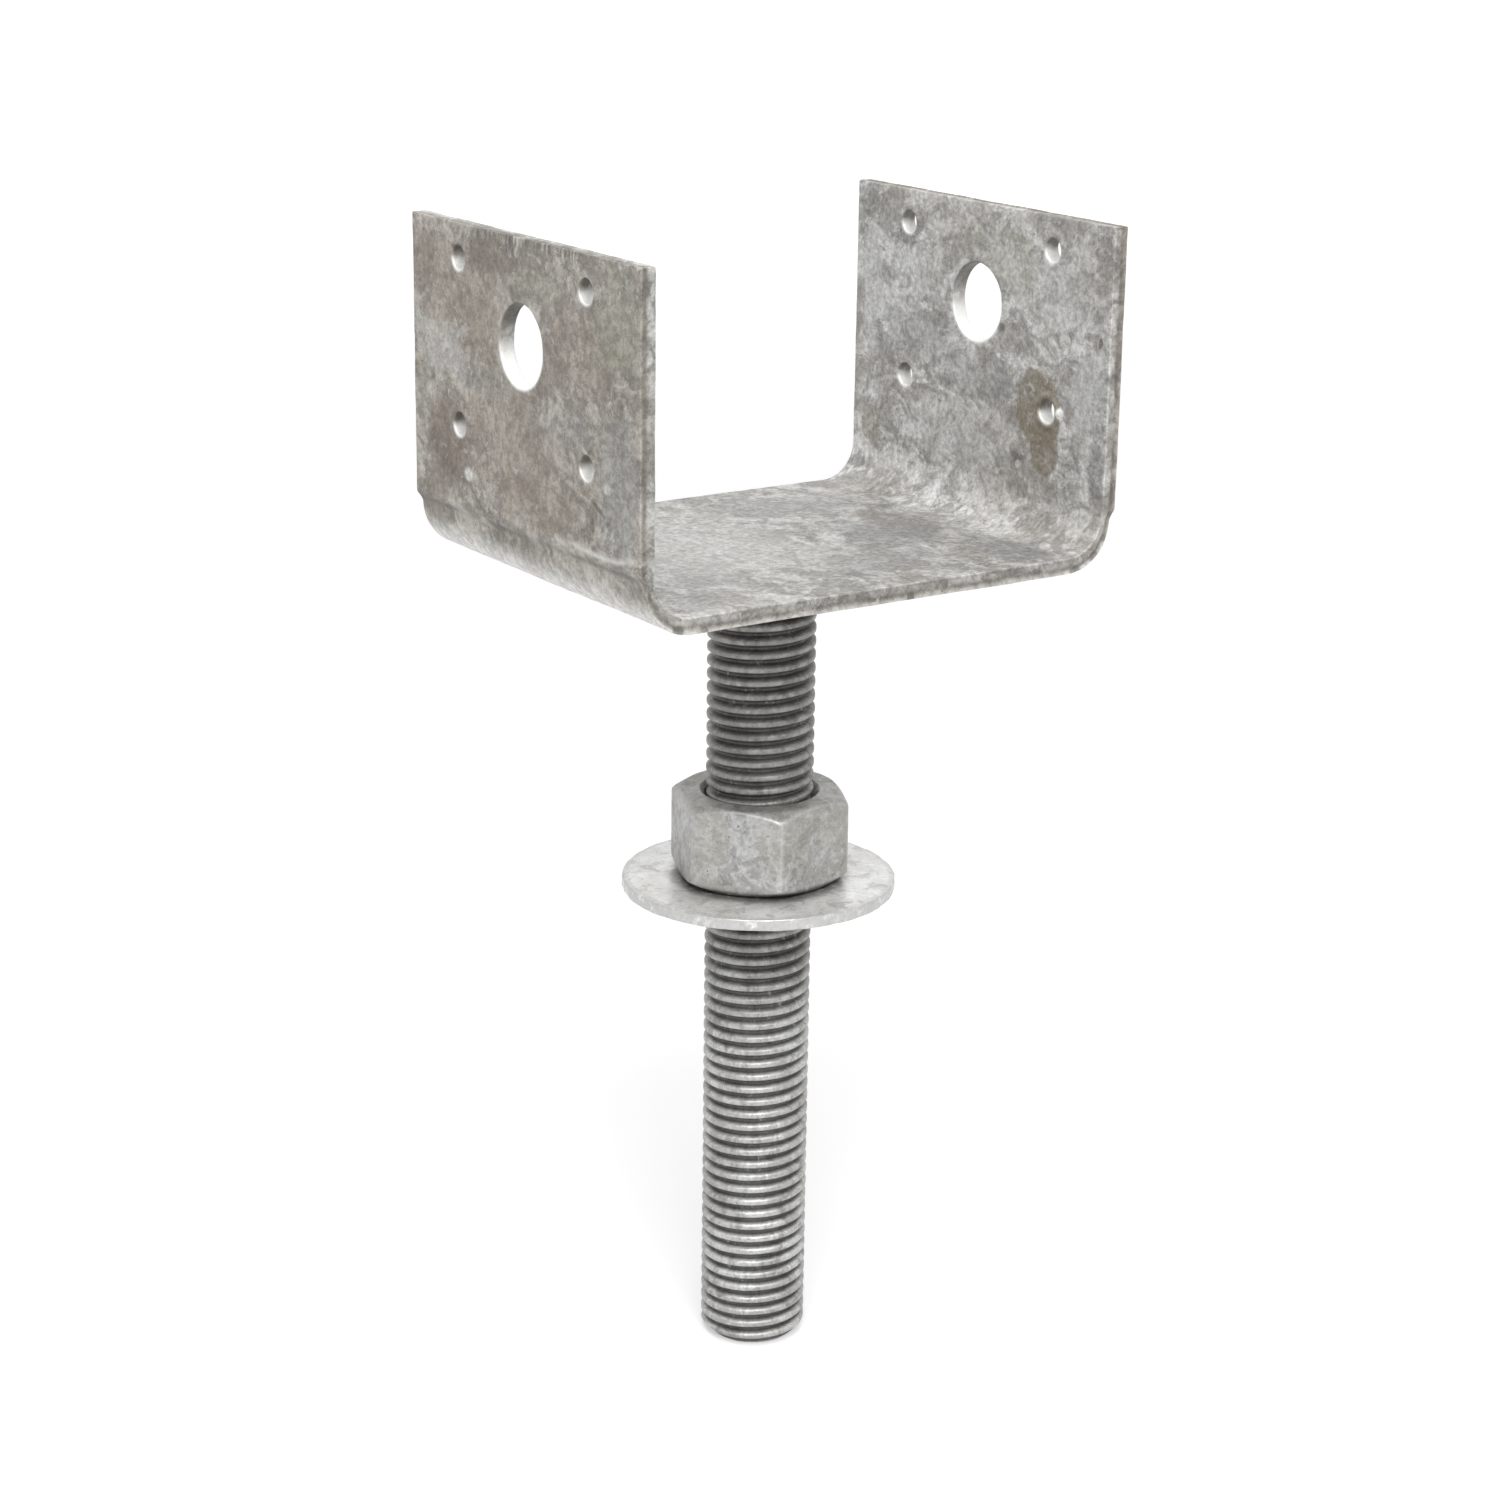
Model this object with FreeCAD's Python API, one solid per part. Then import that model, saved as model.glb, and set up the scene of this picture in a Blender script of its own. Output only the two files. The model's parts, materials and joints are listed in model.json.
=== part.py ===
import FreeCAD, Part
import math, os

# Timber post base: a saddle for the foot of a square timber post, on a threaded anchor stud.
#
# The saddle is one strip of sheet steel, folded up at both sides.  The stud is welded on end
# under the middle of its base and goes down into the footing.  A hex nut on the stud's thread
# bears on a round washer, which lies on the footing, so that turning the nut sets the height.
#
# Frame: millimetres, +Z up, origin at the centre of the post seat (the top of the base, on the
# stud's axis).  X runs across the two cheeks and Y along the depth of the saddle.

Vector = FreeCAD.Vector
X_AXIS, Y_AXIS, Z_AXIS = Vector(1, 0, 0), Vector(0, 1, 0), Vector(0, 0, 1)

# Saddle
POST_WIDTH = 90.0              # timber post, across the cheeks
POST_PLAY = 1.0                # gap between the post and each cheek
SHEET_THICKNESS = 3.0
BEND_RADIUS = 7.0              # inside of both folds
SADDLE_DEPTH = 75.0            # along Y
CHEEK_HEIGHT = 57.0            # from the seat to the sheared top edge
SHEARED_EDGE_ROUND = 0.4       # edges softened by the zinc

# Holes in each cheek
BOLT_DIAMETER = 12.0           # cross bolt through the post
BOLT_PLAY = 1.0                # gap round the bolt in its hole
BOLT_HEIGHT = 39.0             # bolt axis above the seat
SCREW_HOLE_DIAMETER = 4.0
SCREW_ROW_PITCH = 28.5         # between the lower and the upper row
SCREW_COLUMN_PITCH = 42.0      # between the two columns, along Y
SCREW_TOP_INSET = 6.0          # from the top edge down to the upper row

# Anchor stud and its weld
STUD_DIAMETER = 20.0           # over the thread's crests
STUD_LENGTH = 150.0            # below the base
STUD_END_CHAMFER = 2.0
WELD_LEG = 5.0
WELD_BULGE = 0.6               # rise of the bead's crown over a straight face

# Levelling nut
NUT_ACROSS_FLATS = 30.0
NUT_HEIGHT = 16.0
NUT_FACE_DIAMETER = 28.5       # flat ring left by the chamfer on each end
NUT_CHAMFER_ANGLE = 30.0       # degrees from the end face
NUT_COUNTERSINK_DIAMETER = 21.6
NUT_RUNNING_GAP = 0.1          # round the stud
NUT_DROP = 42.5                # from the underside of the base down to the nut
NUT_FIRST_CORNER = 7.0         # degrees from +X, as the nut stands

# Bearing washer
WASHER_DIAMETER = 50.0
WASHER_PLAY = 1.0              # gap round the stud
WASHER_THICKNESS = 2.5
WASHER_DIE_ROLL = 0.4          # bevel that the punch leaves on both upper rims
WASHER_SEAT_GAP = 0.2          # under the nut

# Heights that follow from the sizes above
BASE_UNDERSIDE = -SHEET_THICKNESS
STUD_END = BASE_UNDERSIDE - STUD_LENGTH
NUT_TOP = BASE_UNDERSIDE - NUT_DROP
NUT_BOTTOM = NUT_TOP - NUT_HEIGHT
WASHER_TOP = NUT_BOTTOM - WASHER_SEAT_GAP
WASHER_BOTTOM = WASHER_TOP - WASHER_THICKNESS

# Half widths that the saddle's parts share
CHEEK_INSIDE = POST_WIDTH / 2 + POST_PLAY
CHEEK_OUTSIDE = CHEEK_INSIDE + SHEET_THICKNESS
STUD_RADIUS = STUD_DIAMETER / 2


def line(start, end):
    """Straight edge between two points."""
    return Part.LineSegment(start, end).toShape()


def fold(centre_x, centre_z, radius, side):
    """Quarter-circle edge of a fold: from the base's end of it up to the cheek's end of it.

    side is +1 for the fold towards +X and -1 for the one towards -X.
    """
    diagonal = radius * math.sqrt(0.5)
    start = Vector(centre_x, 0, centre_z - radius)
    middle = Vector(centre_x + side * diagonal, 0, centre_z - diagonal)
    end = Vector(centre_x + side * radius, 0, centre_z)
    return Part.Arc(start, middle, end).toShape()


def saddle_profile():
    """Section of the folded strip in the XZ plane, as a closed wire."""
    fold_x = CHEEK_INSIDE - BEND_RADIUS
    outer_radius = BEND_RADIUS + SHEET_THICKNESS
    edges = []
    for side in (+1, -1):
        inside, outside = side * CHEEK_INSIDE, side * CHEEK_OUTSIDE
        edges += [
            fold(side * fold_x, BEND_RADIUS, BEND_RADIUS, side),
            line(Vector(inside, 0, BEND_RADIUS), Vector(inside, 0, CHEEK_HEIGHT)),
            line(Vector(inside, 0, CHEEK_HEIGHT), Vector(outside, 0, CHEEK_HEIGHT)),
            line(Vector(outside, 0, CHEEK_HEIGHT), Vector(outside, 0, BEND_RADIUS)),
            fold(side * fold_x, BEND_RADIUS, outer_radius, side),
        ]
    for height in (0.0, BASE_UNDERSIDE):
        edges.append(line(Vector(-fold_x, 0, height), Vector(fold_x, 0, height)))
    return Part.Wire(Part.__sortEdges__(edges))


def cross_hole(radius, y, z):
    """Cylinder along X, long enough to pass through both cheeks."""
    reach = CHEEK_OUTSIDE + SHEET_THICKNESS
    return Part.makeCylinder(radius, 2 * reach, Vector(-reach, y, z), X_AXIS)


def cheek_holes():
    """The bolt hole and the four screw holes, each cut through both cheeks."""
    holes = [cross_hole(BOLT_DIAMETER / 2 + BOLT_PLAY, 0, BOLT_HEIGHT)]
    upper_row = CHEEK_HEIGHT - SCREW_TOP_INSET
    for z in (upper_row, upper_row - SCREW_ROW_PITCH):
        for column in (-1, +1):
            y = column * SCREW_COLUMN_PITCH / 2
            holes.append(cross_hole(SCREW_HOLE_DIAMETER / 2, y, z))
    return holes


def is_sheared_edge(edge):
    """True for the edges round the strip's cut faces: both long sides and both top ends."""
    box = edge.BoundBox
    on_side = box.YLength < 1e-6 and abs(abs(box.Center.y) - SADDLE_DEPTH / 2) < 1e-6
    on_top = box.ZLength < 1e-6 and abs(box.ZMax - CHEEK_HEIGHT) < 1e-6
    return on_side or on_top


def post_saddle():
    """Strip folded into a U, with its holes punched and its cut edges softened."""
    section = Part.Face(saddle_profile())
    section.translate(Vector(0, -SADDLE_DEPTH / 2, 0))
    strip = section.extrude(Vector(0, SADDLE_DEPTH, 0))
    sheared = [edge for edge in strip.Edges if is_sheared_edge(edge)]
    edge_round = min(SHEARED_EDGE_ROUND, SHEET_THICKNESS / 4)
    return strip.makeFillet(edge_round, sheared).cut(cheek_holes())


def turned(points):
    """Solid of revolution about Z, from the corners (radius, height) of its half section."""
    corners = [Vector(radius, 0, height) for radius, height in points]
    outline = Part.makePolygon(corners + corners[:1])
    return Part.Face(outline).revolve(Vector(0, 0, 0), Z_AXIS, 360)


def anchor_stud():
    """Round bar over the thread's crests, butted on the base and chamfered at its free end."""
    return turned([
        (0, BASE_UNDERSIDE),
        (STUD_RADIUS, BASE_UNDERSIDE),
        (STUD_RADIUS, STUD_END + STUD_END_CHAMFER),
        (STUD_RADIUS - STUD_END_CHAMFER, STUD_END),
        (0, STUD_END),
    ])


def weld_bead():
    """Fillet weld all round the stud, its crown standing a little out of a straight face."""
    crown_step = WELD_LEG / 2 + WELD_BULGE * math.sqrt(0.5)
    return turned([
        (STUD_RADIUS, BASE_UNDERSIDE),
        (STUD_RADIUS + WELD_LEG, BASE_UNDERSIDE),
        (STUD_RADIUS + crown_step, BASE_UNDERSIDE - crown_step),
        (STUD_RADIUS, BASE_UNDERSIDE - WELD_LEG),
    ])


def hexagon_prism():
    """Hexagonal prism of the nut, its first corner turned to where the nut stands."""
    corner_radius = NUT_ACROSS_FLATS / 2 / math.cos(math.radians(30))
    corners = []
    for index in range(6):
        angle = math.radians(NUT_FIRST_CORNER + 60 * index)
        corners.append(Vector(corner_radius * math.cos(angle), corner_radius * math.sin(angle), NUT_BOTTOM))
    return Part.Face(Part.makePolygon(corners + corners[:1])).extrude(Vector(0, 0, NUT_HEIGHT))


def nut_envelope():
    """Barrel with a cone at each end: what it cuts off the prism is the nut's corner chamfers."""
    face_radius = NUT_FACE_DIAMETER / 2
    rim_radius = NUT_ACROSS_FLATS
    cone_height = (rim_radius - face_radius) * math.tan(math.radians(NUT_CHAMFER_ANGLE))
    upper = turned([
        (0, NUT_TOP),
        (face_radius, NUT_TOP),
        (rim_radius, NUT_TOP - cone_height),
        (rim_radius, NUT_BOTTOM - NUT_HEIGHT),
        (0, NUT_BOTTOM - NUT_HEIGHT),
    ])
    lower = turned([
        (0, NUT_BOTTOM),
        (face_radius, NUT_BOTTOM),
        (rim_radius, NUT_BOTTOM + cone_height),
        (rim_radius, NUT_TOP + NUT_HEIGHT),
        (0, NUT_TOP + NUT_HEIGHT),
    ])
    return upper.common(lower)


def nut_bore():
    """Bore that runs on the stud, opened by a 90 degree countersink at each end."""
    bore_radius = STUD_RADIUS + NUT_RUNNING_GAP
    mouth_radius = NUT_COUNTERSINK_DIAMETER / 2
    sink = mouth_radius - bore_radius
    return turned([
        (0, NUT_TOP),
        (mouth_radius, NUT_TOP),
        (bore_radius, NUT_TOP - sink),
        (bore_radius, NUT_BOTTOM + sink),
        (mouth_radius, NUT_BOTTOM),
        (0, NUT_BOTTOM),
    ])


def levelling_nut():
    """Hex nut, chamfered and countersunk on both ends."""
    return hexagon_prism().common(nut_envelope()).cut(nut_bore())


def bearing_washer():
    """Flat punched ring, its upper rims bevelled by the die."""
    bore_radius = STUD_RADIUS + WASHER_PLAY
    rim_radius = WASHER_DIAMETER / 2
    roll = min(WASHER_DIE_ROLL, WASHER_THICKNESS / 4)
    return turned([
        (bore_radius, WASHER_BOTTOM),
        (rim_radius, WASHER_BOTTOM),
        (rim_radius, WASHER_TOP - roll),
        (rim_radius - roll, WASHER_TOP),
        (bore_radius + roll, WASHER_TOP),
        (bore_radius, WASHER_TOP - roll),
    ])


PIECES = {
    "post_saddle": post_saddle,
    "anchor_stud": anchor_stud,
    "weld_bead": weld_bead,
    "levelling_nut": levelling_nut,
    "bearing_washer": bearing_washer,
}

os.makedirs("parts", exist_ok=True)
for name, build in PIECES.items():
    solid = build().Solids[0]
    solid.exportStep(f"parts/{name}.step")
    print(f"{name}: {solid.Volume:.1f} mm3, valid {solid.isValid()}")
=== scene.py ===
"""Finish of a timber post base: the folded saddle, its threaded stud, the weld, the nut and the washer.

Everything is hot-dip galvanised steel, so each piece is a surface worked out with numpy, softened and
roughened as the zinc leaves it, and dressed with its own zinc finish.  Lengths are metres in the row
frame: +Z up the stud, origin at the centre of the post seat, X across the cheeks, Y along the depth.
"""

import json
import logging
import math
from dataclasses import dataclass, field
from enum import Enum
from functools import partial

import bmesh
import bpy
import numpy as np
from mathutils import Matrix, Vector


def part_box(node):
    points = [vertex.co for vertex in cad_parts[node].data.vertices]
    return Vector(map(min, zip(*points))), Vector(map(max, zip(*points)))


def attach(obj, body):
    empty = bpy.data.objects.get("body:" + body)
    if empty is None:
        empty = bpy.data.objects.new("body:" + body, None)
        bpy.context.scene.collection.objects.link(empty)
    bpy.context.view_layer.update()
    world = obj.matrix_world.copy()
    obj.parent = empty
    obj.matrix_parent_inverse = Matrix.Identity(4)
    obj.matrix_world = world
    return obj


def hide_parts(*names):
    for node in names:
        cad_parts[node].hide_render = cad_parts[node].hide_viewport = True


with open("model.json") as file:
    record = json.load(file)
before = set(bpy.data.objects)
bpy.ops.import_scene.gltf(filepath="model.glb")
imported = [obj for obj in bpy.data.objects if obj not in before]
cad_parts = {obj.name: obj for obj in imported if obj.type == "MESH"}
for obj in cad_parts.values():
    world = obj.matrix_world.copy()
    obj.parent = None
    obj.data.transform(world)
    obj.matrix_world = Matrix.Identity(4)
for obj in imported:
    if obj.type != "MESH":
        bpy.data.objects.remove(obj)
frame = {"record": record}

log = logging.getLogger("post_base")

MM = 0.001
TURN = 2.0 * math.pi
QUARTER = math.pi / 2

Triple = tuple[float, float, float]
Socket = bpy.types.NodeSocket


# ---------------------------------------------------------------------------------------------
# Numbers: smooth noise and blends on whole arrays
# ---------------------------------------------------------------------------------------------

AXIS_PRIMES = (73856093, 19349663, 83492791)    # one for each axis of the noise's lattice
SEED_PRIME = 2654435761
MIX_PRIMES = (1274126177, 2246822519)
WORD = 0xFFFFFFFF                               # the mixed bits that are kept
OCTAVE_SEEDS = 17                               # between the seeds of two octaves
OCTAVE_REACH = 1.5                              # about how far the octaves reach when added up


def smoothstep(low: float, high: float, x: np.ndarray) -> np.ndarray:
    """Ease from 0 at low to 1 at high.

    Args:
        low: value of x at which the result is 0.
        high: value of x at which the result is 1.
        x: any array.

    Returns:
        3t^2 - 2t^3 with t the share of the way from low to high, held between 0 and 1.
    """
    t = np.clip((x - low) / (high - low), 0.0, 1.0)
    return t * t * (3.0 - 2.0 * t)


def fade(low: float, high: float, x: np.ndarray) -> np.ndarray:
    """Ease from 1 at low to 0 at high."""
    return 1.0 - smoothstep(low, high, x)


def ridge(x: np.ndarray, middle: float | np.ndarray, width: float) -> np.ndarray:
    """A rounded ridge: e to the minus square of the distance from its middle, counted in widths."""
    return np.exp(-(((x - middle) / width) ** 2))


def lattice_noise(points: np.ndarray, cell: float, seed: int) -> np.ndarray:
    """Smooth noise: random values at the corners of a cubic lattice, eased between them.

    Args:
        points: (n, 3) positions in metres.
        cell: lattice spacing in metres.
        seed: picks the random values.

    Returns:
        (n,) values from -1 to 1.
    """
    scaled = points / cell
    base = np.floor(scaled).astype(np.int64)
    t = smoothstep(0.0, 1.0, scaled - base)
    total = np.zeros(len(points))
    for corner in np.ndindex(2, 2, 2):
        x, y, z = (base + np.array(corner)).T * np.array(AXIS_PRIMES)[:, None]
        mixed = x ^ y ^ z ^ (seed * SEED_PRIME)
        mixed = (mixed ^ (mixed >> 13)) * MIX_PRIMES[0] & WORD
        mixed = (mixed ^ (mixed >> 16)) * MIX_PRIMES[1] & WORD
        value = (mixed ^ (mixed >> 15)) / float(WORD) * 2.0 - 1.0
        weight = np.prod(np.where(np.array(corner) == 1, t, 1.0 - t), axis=1)
        total += weight * value
    return total


def rough(points: np.ndarray, cell: float, seed: int, octaves: int = 3) -> np.ndarray:
    """Sum of smooth noises, each half the size and half the strength of the one before.

    Args:
        points: (n, 3) positions in metres.
        cell: spacing of the coarsest noise in metres.
        seed: picks the random values.
        octaves: how many noises are added.

    Returns:
        (n,) values, nearly all from -1 to 1.
    """
    total = np.zeros(len(points))
    for octave in range(octaves):
        total += lattice_noise(points, cell / 2**octave, seed + OCTAVE_SEEDS * octave) / 2**octave
    return total / OCTAVE_REACH


# ---------------------------------------------------------------------------------------------
# Meshes: grids of points made into one closed, smooth object
# ---------------------------------------------------------------------------------------------

SEAM_GAP = 2e-6                 # points nearer than this are one, in metres


def grid_faces(rows: int, columns: int, close: bool = False, shift: int = 0) -> np.ndarray:
    """Quads of a grid whose point (row, column) has index row * columns + column.

    Args:
        rows: number of rows of points.
        columns: number of points in each row.
        close: joins the last column to the first.
        shift: when closing, the last column joins the first this many rows further on.

    Returns:
        (n, 4) indices.
    """
    row, column = np.meshgrid(np.arange(rows - 1), np.arange(columns - 1), indexing="ij")
    corner = row * columns + column
    quads = [np.stack([corner, corner + 1, corner + 1 + columns, corner + columns], axis=-1).reshape(-1, 4)]
    if close:
        row = np.arange(rows - 1 - shift)
        last, first = row * columns + columns - 1, (row + shift) * columns
        quads.append(np.stack([last, first, first + columns, last + columns], axis=-1))
    return np.concatenate(quads)


def ring_faces(rows: int, columns: int) -> np.ndarray:
    """Quads of a ring: a closed section carried all the way round, so that nothing stays open.

    Args:
        rows: number of points of the section.
        columns: number of sections round the ring.

    Returns:
        (n, 4) indices of a grid whose last column joins the first, and its last row the first too.
    """
    last, here = (rows - 1) * columns, np.arange(columns)
    ahead = (here + 1) % columns
    seam = np.stack([last + here, last + ahead, ahead, here], axis=1)
    return np.concatenate([grid_faces(rows, columns, close=True), seam])


def round_angles(columns: int) -> np.ndarray:
    """Angles of that many equal steps round a full turn, as an array of one row."""
    return (np.arange(columns) / columns * TURN)[None, :]


def ring_points(angle: np.ndarray, radius: np.ndarray, height: np.ndarray) -> np.ndarray:
    """Points round the Z axis: (radius cos angle, radius sin angle, height).

    Args:
        angle: from +X, in radians, in a shape that can be spread over the others'.
        radius: distance from the axis, one row for each point of the section.
        height: height of each point, in the same shape as the radius.

    Returns:
        (n, 3) points, row by row.
    """
    angle = np.broadcast_to(angle, radius.shape)
    return np.stack([radius * np.cos(angle), radius * np.sin(angle), height], axis=-1).reshape(-1, 3)


def add_mark(piece: bpy.types.Object, mark: str, values: np.ndarray) -> None:
    """Store an attribute on a mesh object's points.

    Args:
        piece: the object.
        mark: the attribute's name.
        values: (n,) for a number or (n, 3) for a vector.
    """
    kind, key = ("FLOAT", "value") if values.ndim == 1 else ("FLOAT_VECTOR", "vector")
    layer = piece.data.attributes.new(mark, kind, "POINT")
    layer.data.foreach_set(key, values.astype(np.float32).ravel())


def read_mark(piece: bpy.types.Object, mark: str) -> np.ndarray:
    """Read an attribute of a mesh object's points.

    Args:
        piece: the object.
        mark: the attribute's name.

    Returns:
        (n,) for a number or (n, 3) for a vector.
    """
    layer = piece.data.attributes[mark]
    width, key = (1, "value") if layer.data_type == "FLOAT" else (3, "vector")
    values = np.empty(len(layer.data) * width)
    layer.data.foreach_get(key, values)
    return values if width == 1 else values.reshape(-1, 3)


def mesh_piece(
    name: str, points: np.ndarray, quads: np.ndarray, marks: dict[str, np.ndarray],
) -> bpy.types.Object:
    """A smooth-shaded object from whole arrays, in the row frame.

    Args:
        name: the piece's name.
        points: (n, 3) positions in metres.
        quads: (m, 4) indices.
        marks: attributes by name, each (n,) for a number or (n, 3) for a vector.

    Returns:
        The object, linked to the scene, at the origin.
    """
    mesh = bpy.data.meshes.new(name)
    mesh.from_pydata(points.tolist(), [], quads.tolist())
    mesh.polygons.foreach_set("use_smooth", np.ones(len(mesh.polygons), dtype=bool))
    mesh.update()
    piece = bpy.data.objects.new(name, mesh)
    for mark, values in marks.items():
        add_mark(piece, mark, values)
    bpy.context.scene.collection.objects.link(piece)
    return piece


def drop_loose(work: bmesh.types.BMesh) -> None:
    """Delete the points that no face uses."""
    bmesh.ops.delete(work, geom=[point for point in work.verts if not point.link_faces], context="VERTS")


def weld_seams(piece: bpy.types.Object) -> None:
    """Merge the points that neighbouring grids share, drop loose ones and turn all faces outwards.

    Args:
        piece: an object whose grids together close its surface.
    """
    work = bmesh.new()
    work.from_mesh(piece.data)
    drop_loose(work)
    bmesh.ops.remove_doubles(work, verts=work.verts, dist=SEAM_GAP)
    bmesh.ops.recalc_face_normals(work, faces=work.faces)
    work.to_mesh(piece.data)
    work.free()


def read_points(piece: bpy.types.Object) -> tuple[np.ndarray, np.ndarray]:
    """Positions and outward normals of a mesh object's points.

    Args:
        piece: the object.

    Returns:
        The positions and the normals, each (n, 3).
    """
    count = len(piece.data.vertices)
    points, normals = np.empty(count * 3), np.empty(count * 3)
    piece.data.vertices.foreach_get("co", points)
    piece.data.vertices.foreach_get("normal", normals)
    return points.reshape(-1, 3), normals.reshape(-1, 3)


def write_points(piece: bpy.types.Object, points: np.ndarray) -> None:
    """Move a mesh object's points to new (n, 3) positions."""
    piece.data.vertices.foreach_set("co", points.ravel())
    piece.data.update()


# ---------------------------------------------------------------------------------------------
# Finishes: procedural zinc
# ---------------------------------------------------------------------------------------------


class Tint(Enum):
    """Colours that cover the zinc in patches."""

    STAIN = (0.215, 0.180, 0.128)
    UMBER = (0.165, 0.132, 0.104)
    BROWN = (0.262, 0.223, 0.181)
    SAGE = (0.300, 0.300, 0.240)
    SLATE = (0.225, 0.225, 0.222)
    GREY = (0.280, 0.282, 0.278)
    PALE = (0.510, 0.510, 0.500)
    WHITE = (0.860, 0.860, 0.840)
    # painted reflection of the floor on the underside and the outside of the folds
    PAINTED_FLOOR_BOUNCE = (0.860, 0.850, 0.830)
    BLACK = (0.060, 0.056, 0.050)


class Wash(Enum):
    """Tones that darken a whole stretch of a piece: the zinc's colour is multiplied by them."""

    OUTSIDE = (0.77, 0.725, 0.67)
    SEAT = (0.78, 0.775, 0.765)
    CUT = (0.82, 0.81, 0.79)
    # painted shade of the saddle on the upper stud
    UNDER_SADDLE_SHADE = (0.50, 0.49, 0.47)


class Grain(Enum):
    """How a finish's fine pattern runs over its piece: stretch of the noise along X, Y and Z."""

    SHEET = (1.0, 0.78, 1.0)
    THREAD = (1.0, 1.0, 0.6)
    EVEN = (1.0, 1.0, 1.0)
    STROKES = (0.12, 1.0, 0.3)


@dataclass(frozen=True)
class Patch:
    """A patch of another colour: an ellipsoid in the strip's own frame, its rim broken up.

    Attributes:
        at: its middle (u, v, w) in metres.
        half: its half widths along u, v and w in metres.
        tint: its colour.
        share: how much of its colour covers the zinc, 0 to 1.
        ragged: how far noise moves its rim, as a share of its half width.
        soft: how wide the fade at its rim is, as a share of its half width.
        turn: turn about w in radians.
    """

    at: Triple
    half: Triple
    tint: Tint
    share: float = 0.5
    ragged: float = 0.45
    soft: float = 0.35
    turn: float = 0.0


class Shader:
    """Short calls for building one node material."""

    def __init__(self, name: str) -> None:
        """Start an empty material with its surface shader and output.

        Args:
            name: the material's name.
        """
        self.material = bpy.data.materials.new(name)
        self.material.use_nodes = True
        self.tree = self.material.node_tree
        self.tree.nodes.clear()
        self.surface = self.tree.nodes.new("ShaderNodeBsdfPrincipled")
        output = self.tree.nodes.new("ShaderNodeOutputMaterial")
        self.tree.links.new(self.surface.outputs[0], output.inputs[0])

    def node(self, kind: str, **settings: object) -> bpy.types.Node:
        """A new node.

        Args:
            kind: its type's name.
            settings: its own settings, by name.

        Returns:
            The node.
        """
        made = self.tree.nodes.new(kind)
        for key, value in settings.items():
            setattr(made, key, value)
        return made

    def feed(self, socket: Socket, value: object) -> None:
        """Link a socket to another node's output, or set it to a plain value.

        Args:
            socket: the input that is fed.
            value: an output, or a number, vector or colour.
        """
        if isinstance(value, Socket):
            self.tree.links.new(value, socket)
        else:
            socket.default_value = value

    def mark(self, name: str) -> Socket:
        """A number stored on the mesh."""
        return self.node("ShaderNodeAttribute", attribute_name=name).outputs["Fac"]

    def where(self, name: str | None = None) -> Socket:
        """A place on the piece.

        Args:
            name: the mark that stores it, or none for Object coordinates.

        Returns:
            The place in metres.
        """
        if name is None:
            return self.node("ShaderNodeTexCoord").outputs["Object"]
        return self.node("ShaderNodeAttribute", attribute_name=name).outputs["Vector"]

    def stretch(self, vector: Socket, grain: Grain) -> Socket:
        """A position scaled along each axis, as a grain runs.

        Args:
            vector: position in metres.
            grain: the scales.

        Returns:
            The scaled position.
        """
        made = self.node("ShaderNodeMapping")
        self.feed(made.inputs["Vector"], vector)
        self.feed(made.inputs["Scale"], grain.value)
        return made.outputs[0]

    def length(self, vector: Socket) -> Socket:
        """Length of a vector.

        Args:
            vector: the vector.

        Returns:
            Its length.
        """
        made = self.node("ShaderNodeVectorMath", operation="LENGTH")
        self.feed(made.inputs[0], vector)
        return made.outputs["Value"]

    def noise(
        self, vector: Socket, size: float,
        detail: float = 4.0, roughness: float = 0.55, distortion: float = 0.0,
    ) -> Socket:
        """Cloudy noise of about 0.5 on average.

        Args:
            vector: position in metres.
            size: width of a cloud in metres.
            detail: octaves.
            roughness: strength of the finer octaves.
            distortion: how far the clouds are stirred.

        Returns:
            The noise, from about 0.2 to 0.8.
        """
        made = self.node("ShaderNodeTexNoise")
        self.feed(made.inputs["Vector"], vector)
        self.feed(made.inputs["Scale"], 1.0 / size)
        self.feed(made.inputs["Detail"], detail)
        self.feed(made.inputs["Roughness"], roughness)
        self.feed(made.inputs["Distortion"], distortion)
        return made.outputs["Fac"]

    def ease(self, value: Socket, low: float, high: float) -> Socket:
        """Eased share of the way between two values.

        Args:
            value: the number that is eased.
            low: where the share is 0.
            high: where the share is 1, above low or below it.

        Returns:
            The share, held between 0 and 1.
        """
        made = self.node("ShaderNodeMapRange", interpolation_type="SMOOTHSTEP")
        self.feed(made.inputs["Value"], value)
        flipped = high < low
        self.feed(made.inputs["From Min"], min(low, high))
        self.feed(made.inputs["From Max"], max(low, high))
        self.feed(made.inputs["To Min"], 1.0 if flipped else 0.0)
        self.feed(made.inputs["To Max"], 0.0 if flipped else 1.0)
        return made.outputs[0]

    def between(self, share: Socket, low: float, high: float) -> Socket:
        """The number that lies a share of the way from low to high.

        Args:
            share: 0 at low and 1 at high.
            low: the least number.
            high: the greatest number.

        Returns:
            The number.
        """
        made = self.node("ShaderNodeMapRange")
        self.feed(made.inputs["Value"], share)
        self.feed(made.inputs["To Min"], low)
        self.feed(made.inputs["To Max"], high)
        return made.outputs[0]

    def flecks(self, vector: Socket, size: float, levels: tuple[float, float], **character: float) -> Socket:
        """Flecks of cloudy noise.

        Args:
            vector: position in metres.
            size: width of a cloud in metres.
            levels: noise at which a fleck begins, and at which it is full.
            character: the noise's detail, roughness and distortion.

        Returns:
            0 outside the flecks and 1 inside them.
        """
        return self.ease(self.noise(vector, size, **character), *levels)

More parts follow.
